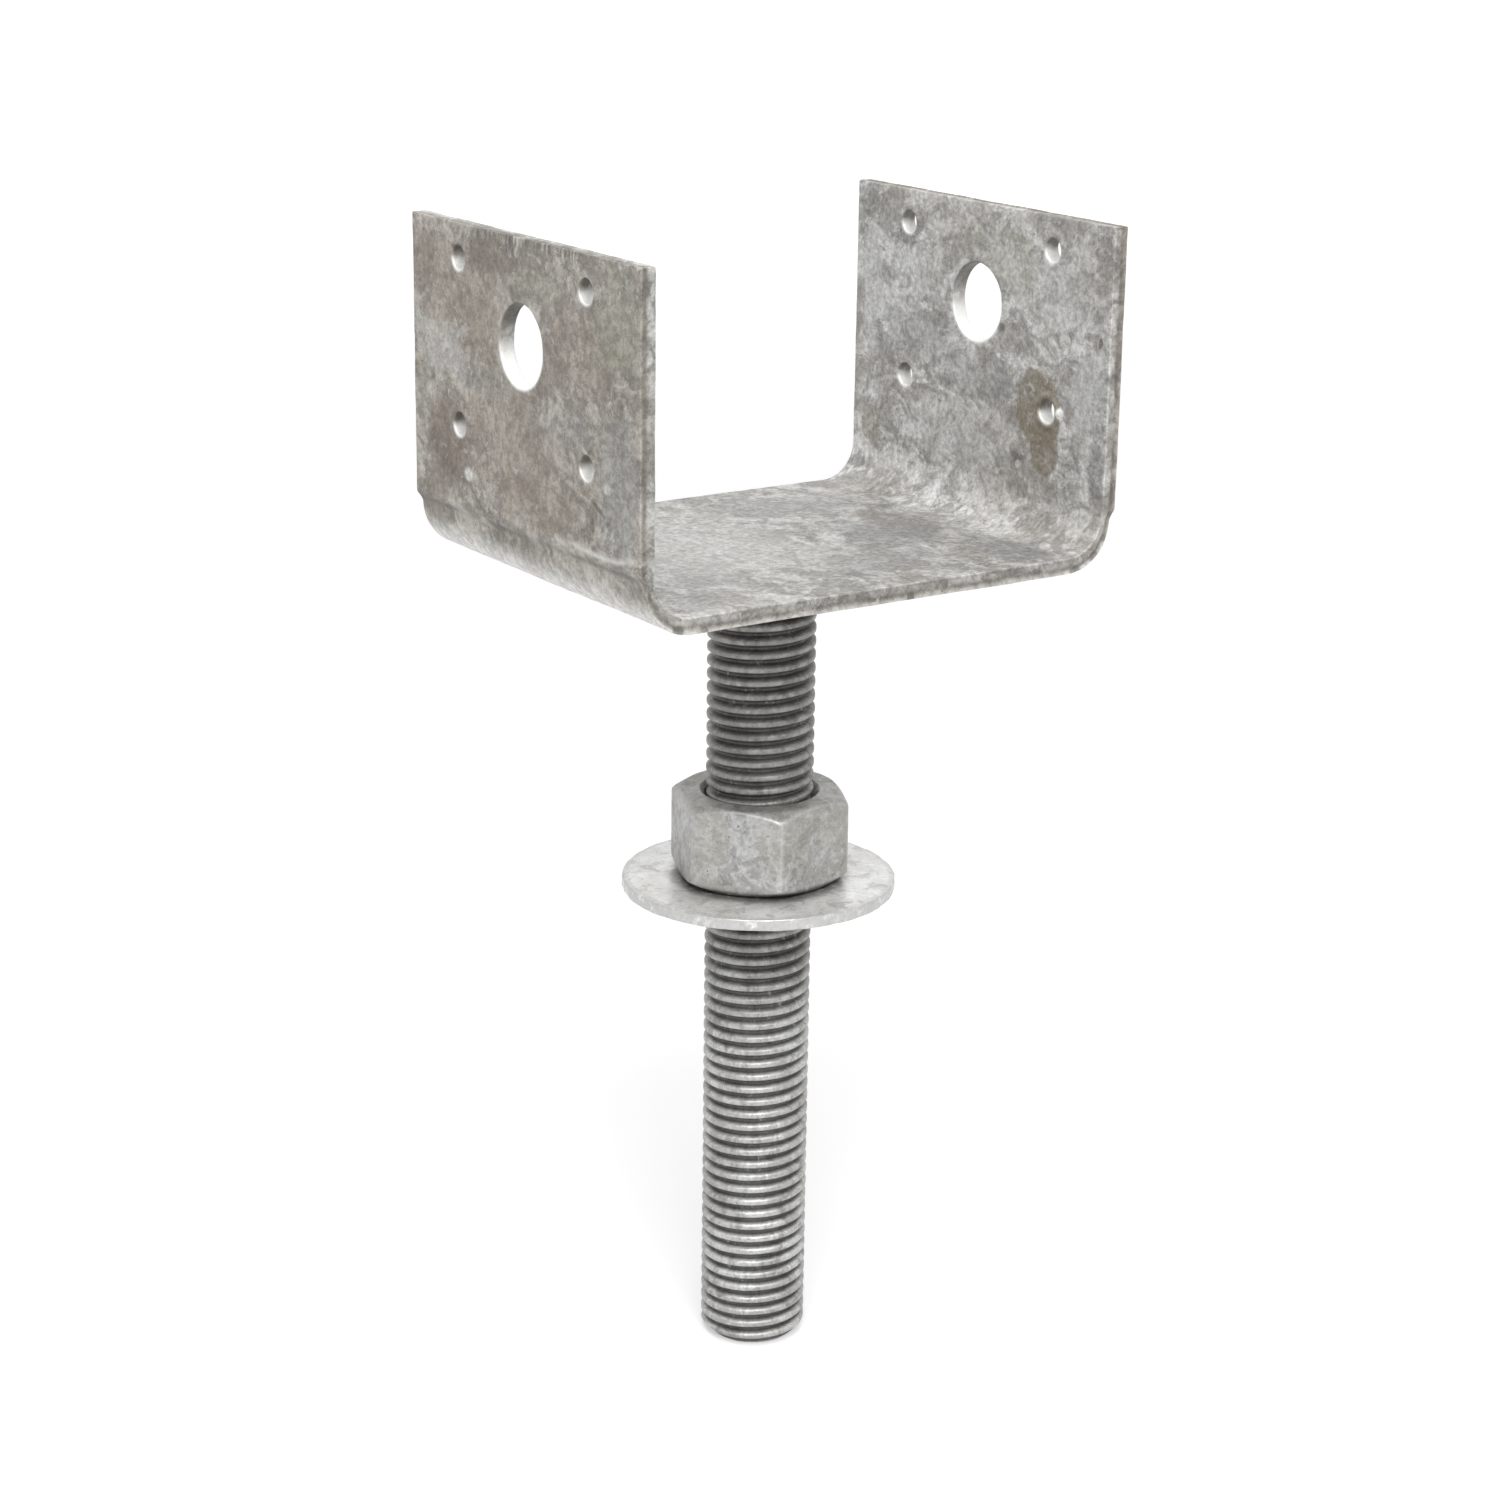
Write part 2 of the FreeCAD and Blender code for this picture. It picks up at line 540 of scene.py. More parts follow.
    def reckon(self, operation: str, first: Socket, second: object) -> Socket:
        """One arithmetic operation on two numbers.

        Args:
            operation: its name.
            first: the first number.
            second: the second number, as an output or a plain one.

        Returns:
            The result.
        """
        made = self.node("ShaderNodeMath", operation=operation)
        self.feed(made.inputs[0], first)
        self.feed(made.inputs[1], second)
        return made.outputs[0]

    def plus(self, first: Socket, second: object) -> Socket:
        """Two numbers added."""
        return self.reckon("ADD", first, second)

    def minus(self, first: Socket, second: object) -> Socket:
        """The first number less the second."""
        return self.reckon("SUBTRACT", first, second)

    def times(self, first: Socket, second: object) -> Socket:
        """Two numbers multiplied."""
        return self.reckon("MULTIPLY", first, second)

    def greater(self, first: Socket, second: object) -> Socket:
        """The greater of two numbers."""
        return self.reckon("MAXIMUM", first, second)

    def blend(self, share: object, under: object, over: object, mode: str = "MIX") -> Socket:
        """Two colours blended.

        Args:
            share: how much the upper colour counts, 0 to 1.
            under: the lower colour, as an output or as red, green and blue.
            over: the upper colour, likewise.
            mode: MIX to cover the lower colour, or MULTIPLY to darken it.

        Returns:
            The blended colour.
        """
        made = self.node("ShaderNodeMix", data_type="RGBA", blend_type=mode)
        self.feed(made.inputs[0], share)
        self.feed(made.inputs[6], (*under, 1.0) if isinstance(under, tuple) else under)
        self.feed(made.inputs[7], (*over, 1.0) if isinstance(over, tuple) else over)
        return made.outputs[2]

    def cover(self, colour: Socket, mask: Socket, strength: float, over: Triple) -> Socket:
        """A colour covered by another where a mask is 1, by no more than that strength."""
        return self.blend(self.times(mask, strength), colour, over)

    def wash(self, colour: Socket, share: Socket, wash: Wash) -> Socket:
        """A colour darkened by a wash."""
        return self.blend(share, colour, wash.value, mode="MULTIPLY")

    def spot(self, vector: Socket, patch: Patch, ragged: Socket) -> Socket:
        """Share that a patch has at each place: 1 inside its ellipsoid and 0 outside.

        Args:
            vector: place on the strip in metres.
            patch: the patch's middle, half widths, turn and rim.
            ragged: noise of about 0.5 that breaks up the rim.

        Returns:
            The share, already multiplied by the patch's own strength.
        """
        inside = self.node("ShaderNodeMapping", vector_type="TEXTURE")
        self.feed(inside.inputs["Vector"], vector)
        self.feed(inside.inputs["Location"], patch.at)
        self.feed(inside.inputs["Rotation"], (0.0, 0.0, patch.turn))
        self.feed(inside.inputs["Scale"], patch.half)
        broken = self.times(self.minus(ragged, 0.5), 4.0 * patch.ragged)
        distance = self.plus(self.length(inside.outputs[0]), broken)
        return self.times(self.ease(distance, 1.0 + patch.soft, 1.0 - patch.soft), patch.share)

    def emboss(self, height: Socket, depth: float) -> Socket:
        """A bump.

        Args:
            height: of the surface, about 0 to 1.
            depth: what a height of 1 stands for, in metres.

        Returns:
            The surface's normal.
        """
        made = self.node("ShaderNodeBump")
        self.feed(made.inputs["Strength"], 1.0)
        self.feed(made.inputs["Distance"], depth)
        self.feed(made.inputs["Height"], height)
        return made.outputs[0]


@dataclass(frozen=True)
class ZincFinish:
    """Hot-dip zinc, weathered to a patina.

    Attributes:
        name: material name.
        slot: the record's material slot; not used.
        bright: clean zinc.
        body: patina over most of the surface.
        dark: specks, pits and grime.
        warm: brownish stain.
        warmth: how much of the surface the stain tints.
        specks: how dark the specks are, 0 to 1.
        contrast: how strongly the fine speckle lightens and darkens.
        cloud: size of the large patches in metres.
        grain: how the pattern is stretched.
        metallic: share of metal in the surface.
        roughness: from the smoothest to the roughest patch.
        bump: depth of the fine texture in metres.
    """

    name: str
    slot: str
    bright: Triple
    body: Triple
    dark: Triple
    warm: Triple
    warmth: float
    specks: float
    contrast: float
    cloud: float
    grain: Grain
    metallic: float
    roughness: tuple[float, float]
    bump: float

    def base(self, shader: Shader, place: Socket) -> tuple[Socket, Socket]:
        """Colour and relief that every zinc surface shares.

        Clean zinc and patina change places in clouds with blotches in them; dark shade and brownish
        stain lie over both.

        Args:
            shader: the material being built.
            place: position in metres, along which the grain runs.

        Returns:
            The colour, and the height of the fine relief from 0 to 1.
        """
        run = shader.stretch(place, self.grain)
        clouds = shader.noise(run, self.cloud, detail=6.0, roughness=0.62, distortion=0.5)
        blotch = shader.noise(run, self.cloud * 0.30, detail=6.0, roughness=0.70, distortion=0.9)
        tone = shader.plus(shader.times(clouds, 0.42), shader.times(blotch, 0.58))
        colour = shader.blend(shader.ease(tone, 0.445, 0.555), self.body, self.bright)
        shade = shader.flecks(
            run, self.cloud * 0.45, (0.535, 0.59), detail=8.0, roughness=0.74, distortion=0.5,
        )
        colour = shader.cover(colour, shade, 0.38, self.dark)
        stain = shader.flecks(
            place, self.cloud * 1.3, (0.46, 0.60), detail=5.0, roughness=0.6, distortion=0.8,
        )
        return shader.cover(colour, stain, self.warmth, self.warm), blotch

    def grit(self, shader: Shader, place: Socket, colour: Socket, relief: Socket) -> tuple[Socket, Socket]:
        """Fine speckle, pale blooms and dark pits, laid over everything else.

        Args:
            shader: the material being built.
            place: position in metres.
            colour: the colour so far.
            relief: the relief so far.

        Returns:
            The colour and the relief with the fine texture.
        """
        speckle = shader.noise(place, self.cloud * 0.085, detail=4.0, roughness=0.78)
        gain = shader.between(shader.ease(speckle, 0.36, 0.64), 1.0 - self.contrast, 1.0 + self.contrast)
        colour = shader.blend(1.0, colour, gain, mode="MULTIPLY")
        bloom = shader.flecks(
            place, self.cloud * 0.16, (0.575, 0.625), detail=7.0, roughness=0.72, distortion=0.8,
        )
        bloom = shader.times(bloom, shader.flecks(place, self.cloud * 0.9, (0.46, 0.58), detail=3.0))
        colour = shader.cover(colour, bloom, 0.55, self.bright)
        pits = shader.flecks(place, self.cloud * 0.075, (0.645, 0.70), detail=3.0, roughness=0.7)
        pits = shader.times(pits, shader.flecks(place, self.cloud * 0.5, (0.40, 0.58), detail=2.0))
        colour = shader.cover(colour, pits, self.specks, self.dark)
        raised = shader.plus(shader.times(speckle, 0.7), shader.times(bloom, 0.25))
        return colour, shader.minus(shader.plus(raised, relief), shader.times(pits, 0.8))

    def settle(self, shader: Shader, colour: Socket, relief: Socket, tone: Socket) -> bpy.types.Material:
        """Set the surface shader's sockets and return the material.

        Args:
            shader: the material being built.
            colour: the surface's colour.
            relief: height of the fine relief, about 0 to 1.
            tone: 0 where the surface is smoothest and 1 where it is roughest.

        Returns:
            The finished material.
        """
        inputs = shader.surface.inputs
        shader.feed(inputs["Base Color"], colour)
        shader.feed(inputs["Roughness"], shader.between(tone, *self.roughness))
        shader.feed(inputs["Normal"], shader.emboss(relief, self.bump))
        shader.feed(inputs["Metallic"], self.metallic)
        return shader.material

    def plain(self, grime: str | None = None) -> bpy.types.Material:
        """The finish for a piece with an `edge` mark: bare zinc, and on the nut a painted highlight, where an
        edge stands out.

        Args:
            grime: name of a mark where grime and painted shade lie on the zinc, if the piece has one.

        Returns:
            The finished material.
        """
        shader = Shader(self.name)
        place = shader.where()
        colour, relief = self.base(shader, place)
        # Brighter edges: bare zinc, and on the nut's corners a painted highlight.
        colour = shader.cover(colour, shader.mark("edge"), 0.75, self.bright)
        colour, relief = self.grit(shader, place, colour, relief)
        # Grime and painted shade, where the piece's mark puts them.
        if grime is not None:
            uneven = shader.flecks(place, 2.2 * MM, (0.26, 0.52), detail=5.0, roughness=0.7)
            colour = shader.cover(colour, shader.times(shader.mark(grime), uneven), 0.9, self.dark)
        return self.settle(shader, colour, relief, shader.noise(place, self.cloud * 0.4))


# ---------------------------------------------------------------------------------------------
# The saddle
# ---------------------------------------------------------------------------------------------

PATCH_DEPTH = 1.4 * MM          # how deep a patch reaches into the sheet from its face


@dataclass(frozen=True)
class Hole:
    """A round hole in one cheek, on the unfolded strip.

    Attributes:
        u: distance of its centre along the strip from the middle, with the cheek's sign.
        v: its centre along the depth.
        radius: radius of the hole.
        block: half width of the square of grid cells that gives way to it.
        lip: height of the zinc that has gathered round it.
    """

    u: float
    v: float
    radius: float
    block: float
    lip: float


@dataclass(frozen=True)
class Blob:
    """A lump of zinc, or a pit if its height is negative, at (u, v) on one face of the strip."""

    u: float
    v: float
    radius: float
    height: float
    inner: bool


@dataclass
class PostSaddle:
    """The U-shaped saddle: one strip, folded up at both sides and punched.

    A point on the strip is (u, v, w): u along the strip on its inner face from the middle, v along the
    depth, and w through the thickness, 0 on the inner face and negative towards the outer one.

    Attributes:
        low: lower corner of its box.
        high: upper corner of its box.
        bolt: the record's mount for the bolt's holes.
        screws: the record's mount for the screws' holes.
        fold_radius: inside of both folds.
        spacing: between grid lines.
        edge_round: rounding of the cut edges.
        hole_round: rounding of the holes' mouths.
        set_back: how far the press has squeezed the outside of each fold.
        step: where the short step out to the cheek begins and ends, from the fold's end.
        wave: how far the sheet bows.
        lumps: how uneven the zinc is.
        bolt_block: block of a bolt hole.
        bolt_lip: lip of a bolt hole.
        screw_block: block of a screw hole.
        screw_lip: lip of a screw hole.
        holes: the holes of both cheeks.
    """

    low: Vector
    high: Vector
    bolt: dict
    screws: dict
    fold_radius: float = 7.0 * MM
    spacing: float = 0.75 * MM
    edge_round: float = 0.45 * MM
    hole_round: float = 0.35 * MM
    set_back: float = 1.2 * MM
    step: tuple[float, float] = (-1.1 * MM, 0.9 * MM)
    wave: float = 0.10 * MM
    lumps: float = 0.07 * MM
    bolt_block: float = 9.2 * MM
    bolt_lip: float = 0.10 * MM
    screw_block: float = 4.0 * MM
    screw_lip: float = 0.22 * MM
    holes: list[Hole] = field(init=False)

    def __post_init__(self) -> None:
        """Work out the strip's sizes and its holes from the frame."""
        self.thickness = -self.low.z
        self.flat_half = self.high.x - self.thickness - self.fold_radius
        self.arc = self.fold_radius * QUARTER
        self.fold_end = self.flat_half + self.arc
        self.half_length = self.along(self.high.z)
        self.half_depth = self.high.y
        self.column = self.screws["dims"]["spacing_x_mm"] * MM / 2
        row = self.screws["dims"]["spacing_y_mm"] * MM / 2
        self.low_row = self.along(self.screws["pos_m"][2] - row)
        high_row = self.along(self.screws["pos_m"][2] + row)
        self.bolt_at = self.along(self.bolt["pos_m"][2])
        bolt_radius = self.bolt["dims"]["r_mm"] * MM
        screw_radius = self.screws["dims"]["hole_r_mm"] * MM
        self.holes = []
        for side in (-1, 1):
            self.holes.append(Hole(side * self.bolt_at, 0.0, bolt_radius, self.bolt_block, self.bolt_lip))
            for at in (self.low_row, high_row):
                for v in (-self.column, self.column):
                    self.holes.append(Hole(side * at, v, screw_radius, self.screw_block, self.screw_lip))

    def along(self, height: float) -> float:
        """Distance along the strip of a point at that height on a cheek."""
        return self.fold_end + height - self.fold_radius

    def fold_angle(self, u: np.ndarray) -> np.ndarray:
        """How far round a fold each distance along the strip is: 0 on the base, a quarter turn on a cheek."""
        return np.clip((np.abs(u) - self.flat_half) / self.fold_radius, 0.0, QUARTER)

    def fold(self, strip: np.ndarray) -> np.ndarray:
        """Fold the flat strip into the U.

        Up to the fold x is u.  Round it the point turns about the fold's centre, at the fold's radius
        less w.  Past it the rest of u rises up the cheek.  Where the press has squeezed the outside of
        the fold, w counts for less.

        Args:
            strip: (n, 3) points (u, v, w).

        Returns:
            (n, 3) points (x, y, z).
        """
        u, side = np.abs(strip[:, 0]), np.sign(strip[:, 0])
        angle = self.fold_angle(u)
        reach = self.fold_radius - strip[:, 2] * self.fullness(u)
        rise = np.maximum(u - self.flat_half - self.arc, 0.0)
        x = np.minimum(u, self.flat_half) + reach * np.sin(angle)
        z = self.fold_radius - reach * np.cos(angle) + rise
        return np.stack([side * x, strip[:, 1], z], axis=1)

    def fullness(self, u: np.ndarray) -> np.ndarray:
        """Thickness left by the press, as a share of the sheet's.

        The outside of a fold is an arc whose centre lies below the inner one's by the set-back, so it
        starts flush with the underside and ends inside the cheek's outer face by nearly that much; there
        a short step leads out to the full thickness.

        Args:
            u: distances along the strip, none negative.

        Returns:
            The share at each of them.
        """
        angle = self.fold_angle(u)
        outer = self.fold_radius + self.thickness - self.set_back
        across = self.set_back * np.sin(angle)
        left = self.set_back * np.cos(angle) + np.sqrt(outer**2 - across**2) - self.fold_radius
        out = smoothstep(self.fold_end + self.step[0], self.fold_end + self.step[1], u)
        return (left + (self.thickness - left) * out) / self.thickness

    def fold_normal(self, strip: np.ndarray) -> np.ndarray:
        """Unit vector towards the inside of the U at each point: up on the base, inwards on a cheek."""
        angle = self.fold_angle(strip[:, 0])
        return np.stack([-np.sign(strip[:, 0]) * np.sin(angle), np.zeros(len(strip)), np.cos(angle)], axis=1)

    def strip_lines(self) -> np.ndarray:
        """Grid lines along the strip, closer where the outside of each fold steps out to the cheek.

        Returns:
            The lines' places, in order.
        """
        clear, reach, count = 2.2 * MM, 2.0 * MM, 13
        even = self.lines(self.half_length)
        even = even[np.abs(np.abs(even) - self.fold_end) > clear]
        close = np.linspace(self.fold_end - reach, self.fold_end + reach, count)
        return np.sort(np.concatenate([even, close, -close]))

    def lines(self, half: float) -> np.ndarray:
        """Grid lines from one edge to the other: even, with closer ones where the edge is rounded off.

        Args:
            half: half the distance between the edges.

        Returns:
            The lines' places, from -half to half.
        """
        count = round(2 * (half - self.edge_round) / self.spacing)
        even = np.linspace(-half + self.edge_round, half - self.edge_round, count + 1)
        near = half - np.array([0.45, 0.2, 0.0]) * self.edge_round
        return np.concatenate([-near[::-1], even, near])

    @staticmethod
    def loop(across: np.ndarray, along: np.ndarray) -> np.ndarray:
        """Points round a rectangle of grid lines, once, in order.

        Args:
            across: u of the lines that the rectangle spans.
            along: v of the lines that it spans.

        Returns:
            (n, 2) points (u, v).
        """
        bottom = np.stack([across[:-1], np.full(len(across) - 1, along[0])], axis=1)
        right = np.stack([np.full(len(along) - 1, across[-1]), along[:-1]], axis=1)
        top = np.stack([across[:0:-1], np.full(len(across) - 1, along[-1])], axis=1)
        left = np.stack([np.full(len(along) - 1, across[0]), along[:0:-1]], axis=1)
        return np.concatenate([bottom, right, top, left])

    def soften(self, strip: np.ndarray) -> np.ndarray:
        """Round the strip's own edges: each point is drawn to within the rounding of an inner box.

        Args:
            strip: (n, 3) points on the square-edged strip.

        Returns:
            (n, 3) points on the rounded one.
        """
        half = np.array([self.half_length, self.half_depth, self.thickness / 2])
        centre = np.array([0.0, 0.0, -self.thickness / 2])
        offset = strip - centre
        inner = np.clip(offset, -half + self.edge_round, half - self.edge_round)
        away = offset - inner
        distance = np.linalg.norm(away, axis=1, keepdims=True)
        pulled = inner + away * self.edge_round / np.maximum(distance, 1e-12)
        return centre + np.where(distance > 1e-9, pulled, offset)

    def face_grids(self, u: np.ndarray, v: np.ndarray) -> list[tuple[np.ndarray, np.ndarray]]:
        """The inner and the outer face, with a round opening for each hole.

        The grid's cells round a hole give way to rings that pass from the square of the cells to the
        circle: each ring point lies on the line from the hole's centre to a point of the square, and
        the rings lie closer towards the circle.

        Args:
            u: grid lines along the strip.
            v: grid lines along the depth.

        Returns:
            Points on the strip and quads, one pair for each grid.
        """
        ring_count, gather = 12, 1.6
        grids, squares = [], []
        keep = np.ones((len(u) - 1, len(v) - 1), dtype=bool)
        for hole in self.holes:
            i = [int(np.argmin(np.abs(u - hole.u - step))) for step in (-hole.block, hole.block)]
            j = [int(np.argmin(np.abs(v - hole.v - step))) for step in (-hole.block, hole.block)]
            keep[i[0]:i[1], j[0]:j[1]] = False
            squares.append(self.loop(u[i[0]:i[1] + 1], v[j[0]:j[1] + 1]))
        quads = grid_faces(len(u), len(v)).reshape(len(u) - 1, len(v) - 1, 4)[keep]
        flat = np.stack(np.meshgrid(u, v, indexing="ij"), axis=-1).reshape(-1, 2)
        for w in (0.0, -self.thickness):
            grids.append((self.soften(np.column_stack([flat, np.full(len(flat), w)])), quads))
        share = np.linspace(0.0, 1.0, ring_count)[:, None, None] ** gather
        for hole, square in zip(self.holes, squares):
            centre = np.array([hole.u, hole.v])
            length = np.linalg.norm(square - centre, axis=1)[:, None]
            ray = (square - centre) / length
            inside = hole.radius + self.hole_round
            rings = centre + ray * (inside + (length - inside) * share)
            for w in (0.0, -self.thickness):
                points = np.concatenate([rings, np.full((*rings.shape[:2], 1), w)], axis=-1).reshape(-1, 3)
                grids.append((points, grid_faces(len(rings), len(square), close=True)))
            grids.append(self.hole_wall(hole, ray))
        return grids

    def hole_wall(self, hole: Hole, ray: np.ndarray) -> tuple[np.ndarray, np.ndarray]:
        """The wall of a hole: a profile with rounded mouths, carried round the rays from its centre.

        Args:
            hole: the hole.
            ray: (n, 2) unit vectors from its centre.

        Returns:
            Its points on the strip and its quads.
        """
        turn = np.linspace(0.0, QUARTER, 6)
        mouth_out, mouth_down = self.hole_round * (1 - np.sin(turn)), -self.hole_round * (1 - np.cos(turn))
        middle = np.linspace(-self.hole_round, self.hole_round - self.thickness, 7)[1:-1]
        out = np.concatenate([mouth_out, np.zeros(len(middle)), mouth_out[::-1]])
        down = np.concatenate([mouth_down, middle, -self.thickness - mouth_down[::-1]])
        flat = np.array([hole.u, hole.v]) + ray * (hole.radius + out)[:, None, None]
        depth = np.broadcast_to(down[:, None, None], (*flat.shape[:2], 1))
        points = np.concatenate([flat, depth], axis=-1).reshape(-1, 3)
        return points, grid_faces(len(out), len(ray), close=True)

    def rim_grid(self, u: np.ndarray, v: np.ndarray) -> tuple[np.ndarray, np.ndarray]:
        """The cut edge all round the strip: the outline of the grid, carried through the thickness.

        Args:
            u: grid lines along the strip.
            v: grid lines along the depth.

        Returns:
            Its points on the strip and its quads.
        """
        outline = self.loop(u, v)
        near = np.array([0.0, 0.45, 0.8, 1.0]) * self.edge_round
        middle = np.linspace(self.edge_round, self.thickness - self.edge_round, 7)[1:-1]
        depth = np.concatenate([near, middle, self.thickness - near[::-1]])
        points = np.column_stack([np.tile(outline, (len(depth), 1)), -np.repeat(depth, len(outline))])
        return self.soften(points), grid_faces(len(depth), len(outline), close=True)

    def blobs(self) -> list[Blob]:
        """Lumps and pits that stand out, placed from the holes they lie by.

        Returns:
            The blobs of both cheeks.
        """
        low, column, bolt = self.low_row, self.column, self.bolt_at
        return [
            Blob(low, -column - 3.6 * MM, 0.9 * MM, 0.45 * MM, True),
            Blob(low - 9.0 * MM, -column + 6.5 * MM, 1.1 * MM, -0.30 * MM, True),
            Blob(bolt + 11.0 * MM, -2.0 * MM, 1.3 * MM, 0.18 * MM, True),
            Blob(low + 4.5 * MM, column + 4.0 * MM, 0.7 * MM, 0.25 * MM, True),
            Blob(bolt - 2.0 * MM, -self.half_depth + 3.0 * MM, 0.8 * MM, -0.25 * MM, True),
            Blob(-low + 8.2 * MM, column - 3.0 * MM, 0.9 * MM, 0.20 * MM, False),
            Blob(-low + 2.5 * MM, -column - 6.5 * MM, 0.8 * MM, 0.15 * MM, False),
            Blob(-bolt + 2.0 * MM, column + 6.0 * MM, 1.0 * MM, 0.20 * MM, False),
        ]

    def relief(self, strip: np.ndarray) -> np.ndarray:
        """How far the zinc stands out from the steel: noise, a lip round each hole, and the blobs.

        Args:
            strip: (n, 3) points on the strip.

        Returns:
            (n,) heights in metres, most of them a little negative, which keeps the zinc near the solid.
        """
        inner = strip[:, 2] > -self.thickness / 2
        apart = np.where(inner, 0.0, 0.5)[:, None]      # gives the two faces different noise
        out = self.lumps * (rough(strip + apart, 5.0 * MM, 11) - 0.8)
        out += 0.5 * self.lumps * rough(strip * np.array([0.5, 1.0, 1.0]), 2.0 * MM, 23, octaves=2)
        uneven = 1.0 + 0.5 * lattice_noise(strip, 2.5 * MM, 5)
        for hole in self.holes:
            from_edge = np.hypot(strip[:, 0] - hole.u, strip[:, 1] - hole.v) - hole.radius
            lip = np.where(inner, hole.lip, 0.5 * hole.lip)
            out += lip * uneven * ridge(from_edge, 0.9 * MM, 0.65 * MM)
        for blob in self.blobs():
            distance = np.hypot(strip[:, 0] - blob.u, strip[:, 1] - blob.v)
            out += np.where(inner == blob.inner, blob.height, 0.0) * ridge(distance, 0.0, blob.radius)
        return out

    def hole_marks(self, strip: np.ndarray) -> dict[str, np.ndarray]:
        """Painted light at the holes: a painted highlight on the lower side of each, and painted shade over
        it.

        Args:
            strip: (n, 3) points on the strip.

        Returns:
            The marks `rim` (painted highlight) and `mouth` (painted shade), from 0 to 1.
        """
        u, v = strip[:, 0], strip[:, 1]
        gaps = np.array([np.hypot(u - hole.u, v - hole.v) - hole.radius for hole in self.holes])
        sizes = np.array([[abs(hole.u), hole.radius] for hole in self.holes])
        to_hole, (middle, radius) = gaps.min(axis=0), sizes[gaps.argmin(axis=0)].T
        above = (np.abs(u) - middle) / radius
        return {
            # painted highlight: the lower side of each hole's wall and lip
            "rim": fade(0.05 * MM, 0.75 * MM, to_hole) * fade(-0.45, 0.25, above),
            # painted shade: the upper side of each hole's mouth
            "mouth": fade(0.0, 0.4 * MM, to_hole) * smoothstep(-0.1, 0.6, above),
        }

    def edge_marks(self, strip: np.ndarray) -> dict[str, np.ndarray]:
        """Where the sheet was cut: the cut face, the groove in it and the shear's strokes below the top.

        Args:
            strip: (n, 3) points on the strip.

        Returns:
            The marks `cut`, `through`, `groove` and `sheared`; through goes from 0 on the inner face to
            1 on the outer one.
        """
        ends = self.half_length - np.abs(strip[:, 0])
        sides = self.half_depth - np.abs(strip[:, 1])
        through = -strip[:, 2] / self.thickness
        span = fade(14 * MM, 22 * MM, np.abs(strip[:, 1] + 2 * MM))
        return {
            "cut": fade(0.0, 0.12 * MM, np.minimum(ends, sides)),
            "through": through,
            "groove": ridge(through, 0.66, 0.15),
            "sheared": self.outwards(strip) * fade(0.8 * MM, 3.0 * MM, ends) * span,
        }

    def fold_marks(self, strip: np.ndarray) -> dict[str, np.ndarray]:
        """What runs along the folds: the seat between them, painted shade in the creases, a painted
        reflection of the floor on the squeezed outside and a bead.

        The bead is a run of zinc on the left cheek's front part that wanders a little; the painted shade
        along the inside of the right fold runs a little askew.

        Args:
            strip: (n, 3) points on the strip.

        Returns:
            The marks `seat`, `crease` (painted shade), `under` (painted reflection of the floor) and `bead`,
            from 0 to 1.
        """
        u, v, outer = strip[:, 0], strip[:, 1], self.outwards(strip)
        along = np.abs(u) - self.flat_half - self.arc
        run = 2.3 * MM + 1.0 * MM * lattice_noise(strip * np.array([0.0, 1.0, 0.0]), 5.0 * MM, 83)
        askew = -5.2 * MM + 0.05 * v + 0.4 * MM * lattice_noise(strip, 6.0 * MM, 89)
        inside = 0.45 * (strip[:, 2] > -0.1 * self.thickness) * (u > 0)
        return {
            "seat": fade(-3.0 * MM, 2.0 * MM, np.abs(u) - self.flat_half),
            # painted shade along the step outside each fold and inside the right fold
            "crease": outer * ridge(along, -0.1 * MM, 0.55 * MM) + inside * ridge(along, askew, 0.6 * MM),
            # painted reflection of the floor: the underside and the squeezed outside of each fold
            "under": outer * fade(-6.0 * MM, -1.2 * MM, along),
            "bead": outer * (ridge(along, run, 0.42 * MM) * fade(-15 * MM, -8 * MM, v)) * (u < 0),
        }

    def outwards(self, strip: np.ndarray) -> np.ndarray:
        """How near each point is to the outer face: 0 up to the sheet's middle, and 1 close to it."""
        return smoothstep(0.45, 0.9, -strip[:, 2] / self.thickness)

    def build(self) -> bpy.types.Object:
        """The saddle's mesh: faces, holes and rim, waved, folded, and roughened by the zinc.

        Returns:
            The finished piece, with the strip's own places and the finish's marks on its points.
        """
        u, v = self.strip_lines(), self.lines(self.half_depth)
        grids = [*self.face_grids(u, v), self.rim_grid(u, v)]
        strip = np.concatenate([points for points, _ in grids])
        starts = np.cumsum([0] + [len(points) for points, _ in grids[:-1]])
        quads = np.concatenate([faces + start for start, (_, faces) in zip(starts, grids)])
        piece = mesh_piece("post_saddle_zinc", self.fold(strip), quads, {"strip": strip})
        weld_seams(piece)
        strip = read_mark(piece, "strip")
        marks = self.hole_marks(strip) | self.edge_marks(strip) | self.fold_marks(strip)
        for mark, values in marks.items():
            add_mark(piece, mark, values)
        cut, groove, bead = (read_mark(piece, mark) for mark in ("cut", "groove", "bead"))
        ragged = 0.12 * MM * (rough(strip, 3.0 * MM, 31) - 0.6) * cut
        out = self.relief(strip) + ragged - 0.22 * MM * (groove * cut) + 0.12 * MM * bead
        on_face = np.column_stack([strip[:, :2], np.zeros(len(strip))])
        bow = self.wave * (rough(on_face, 22 * MM, 3, octaves=2) + 0.8)
        points, normals = read_points(piece)
        waved = points + self.fold_normal(strip) * bow[:, None]
        write_points(piece, waved + normals * out[:, None])
        return piece

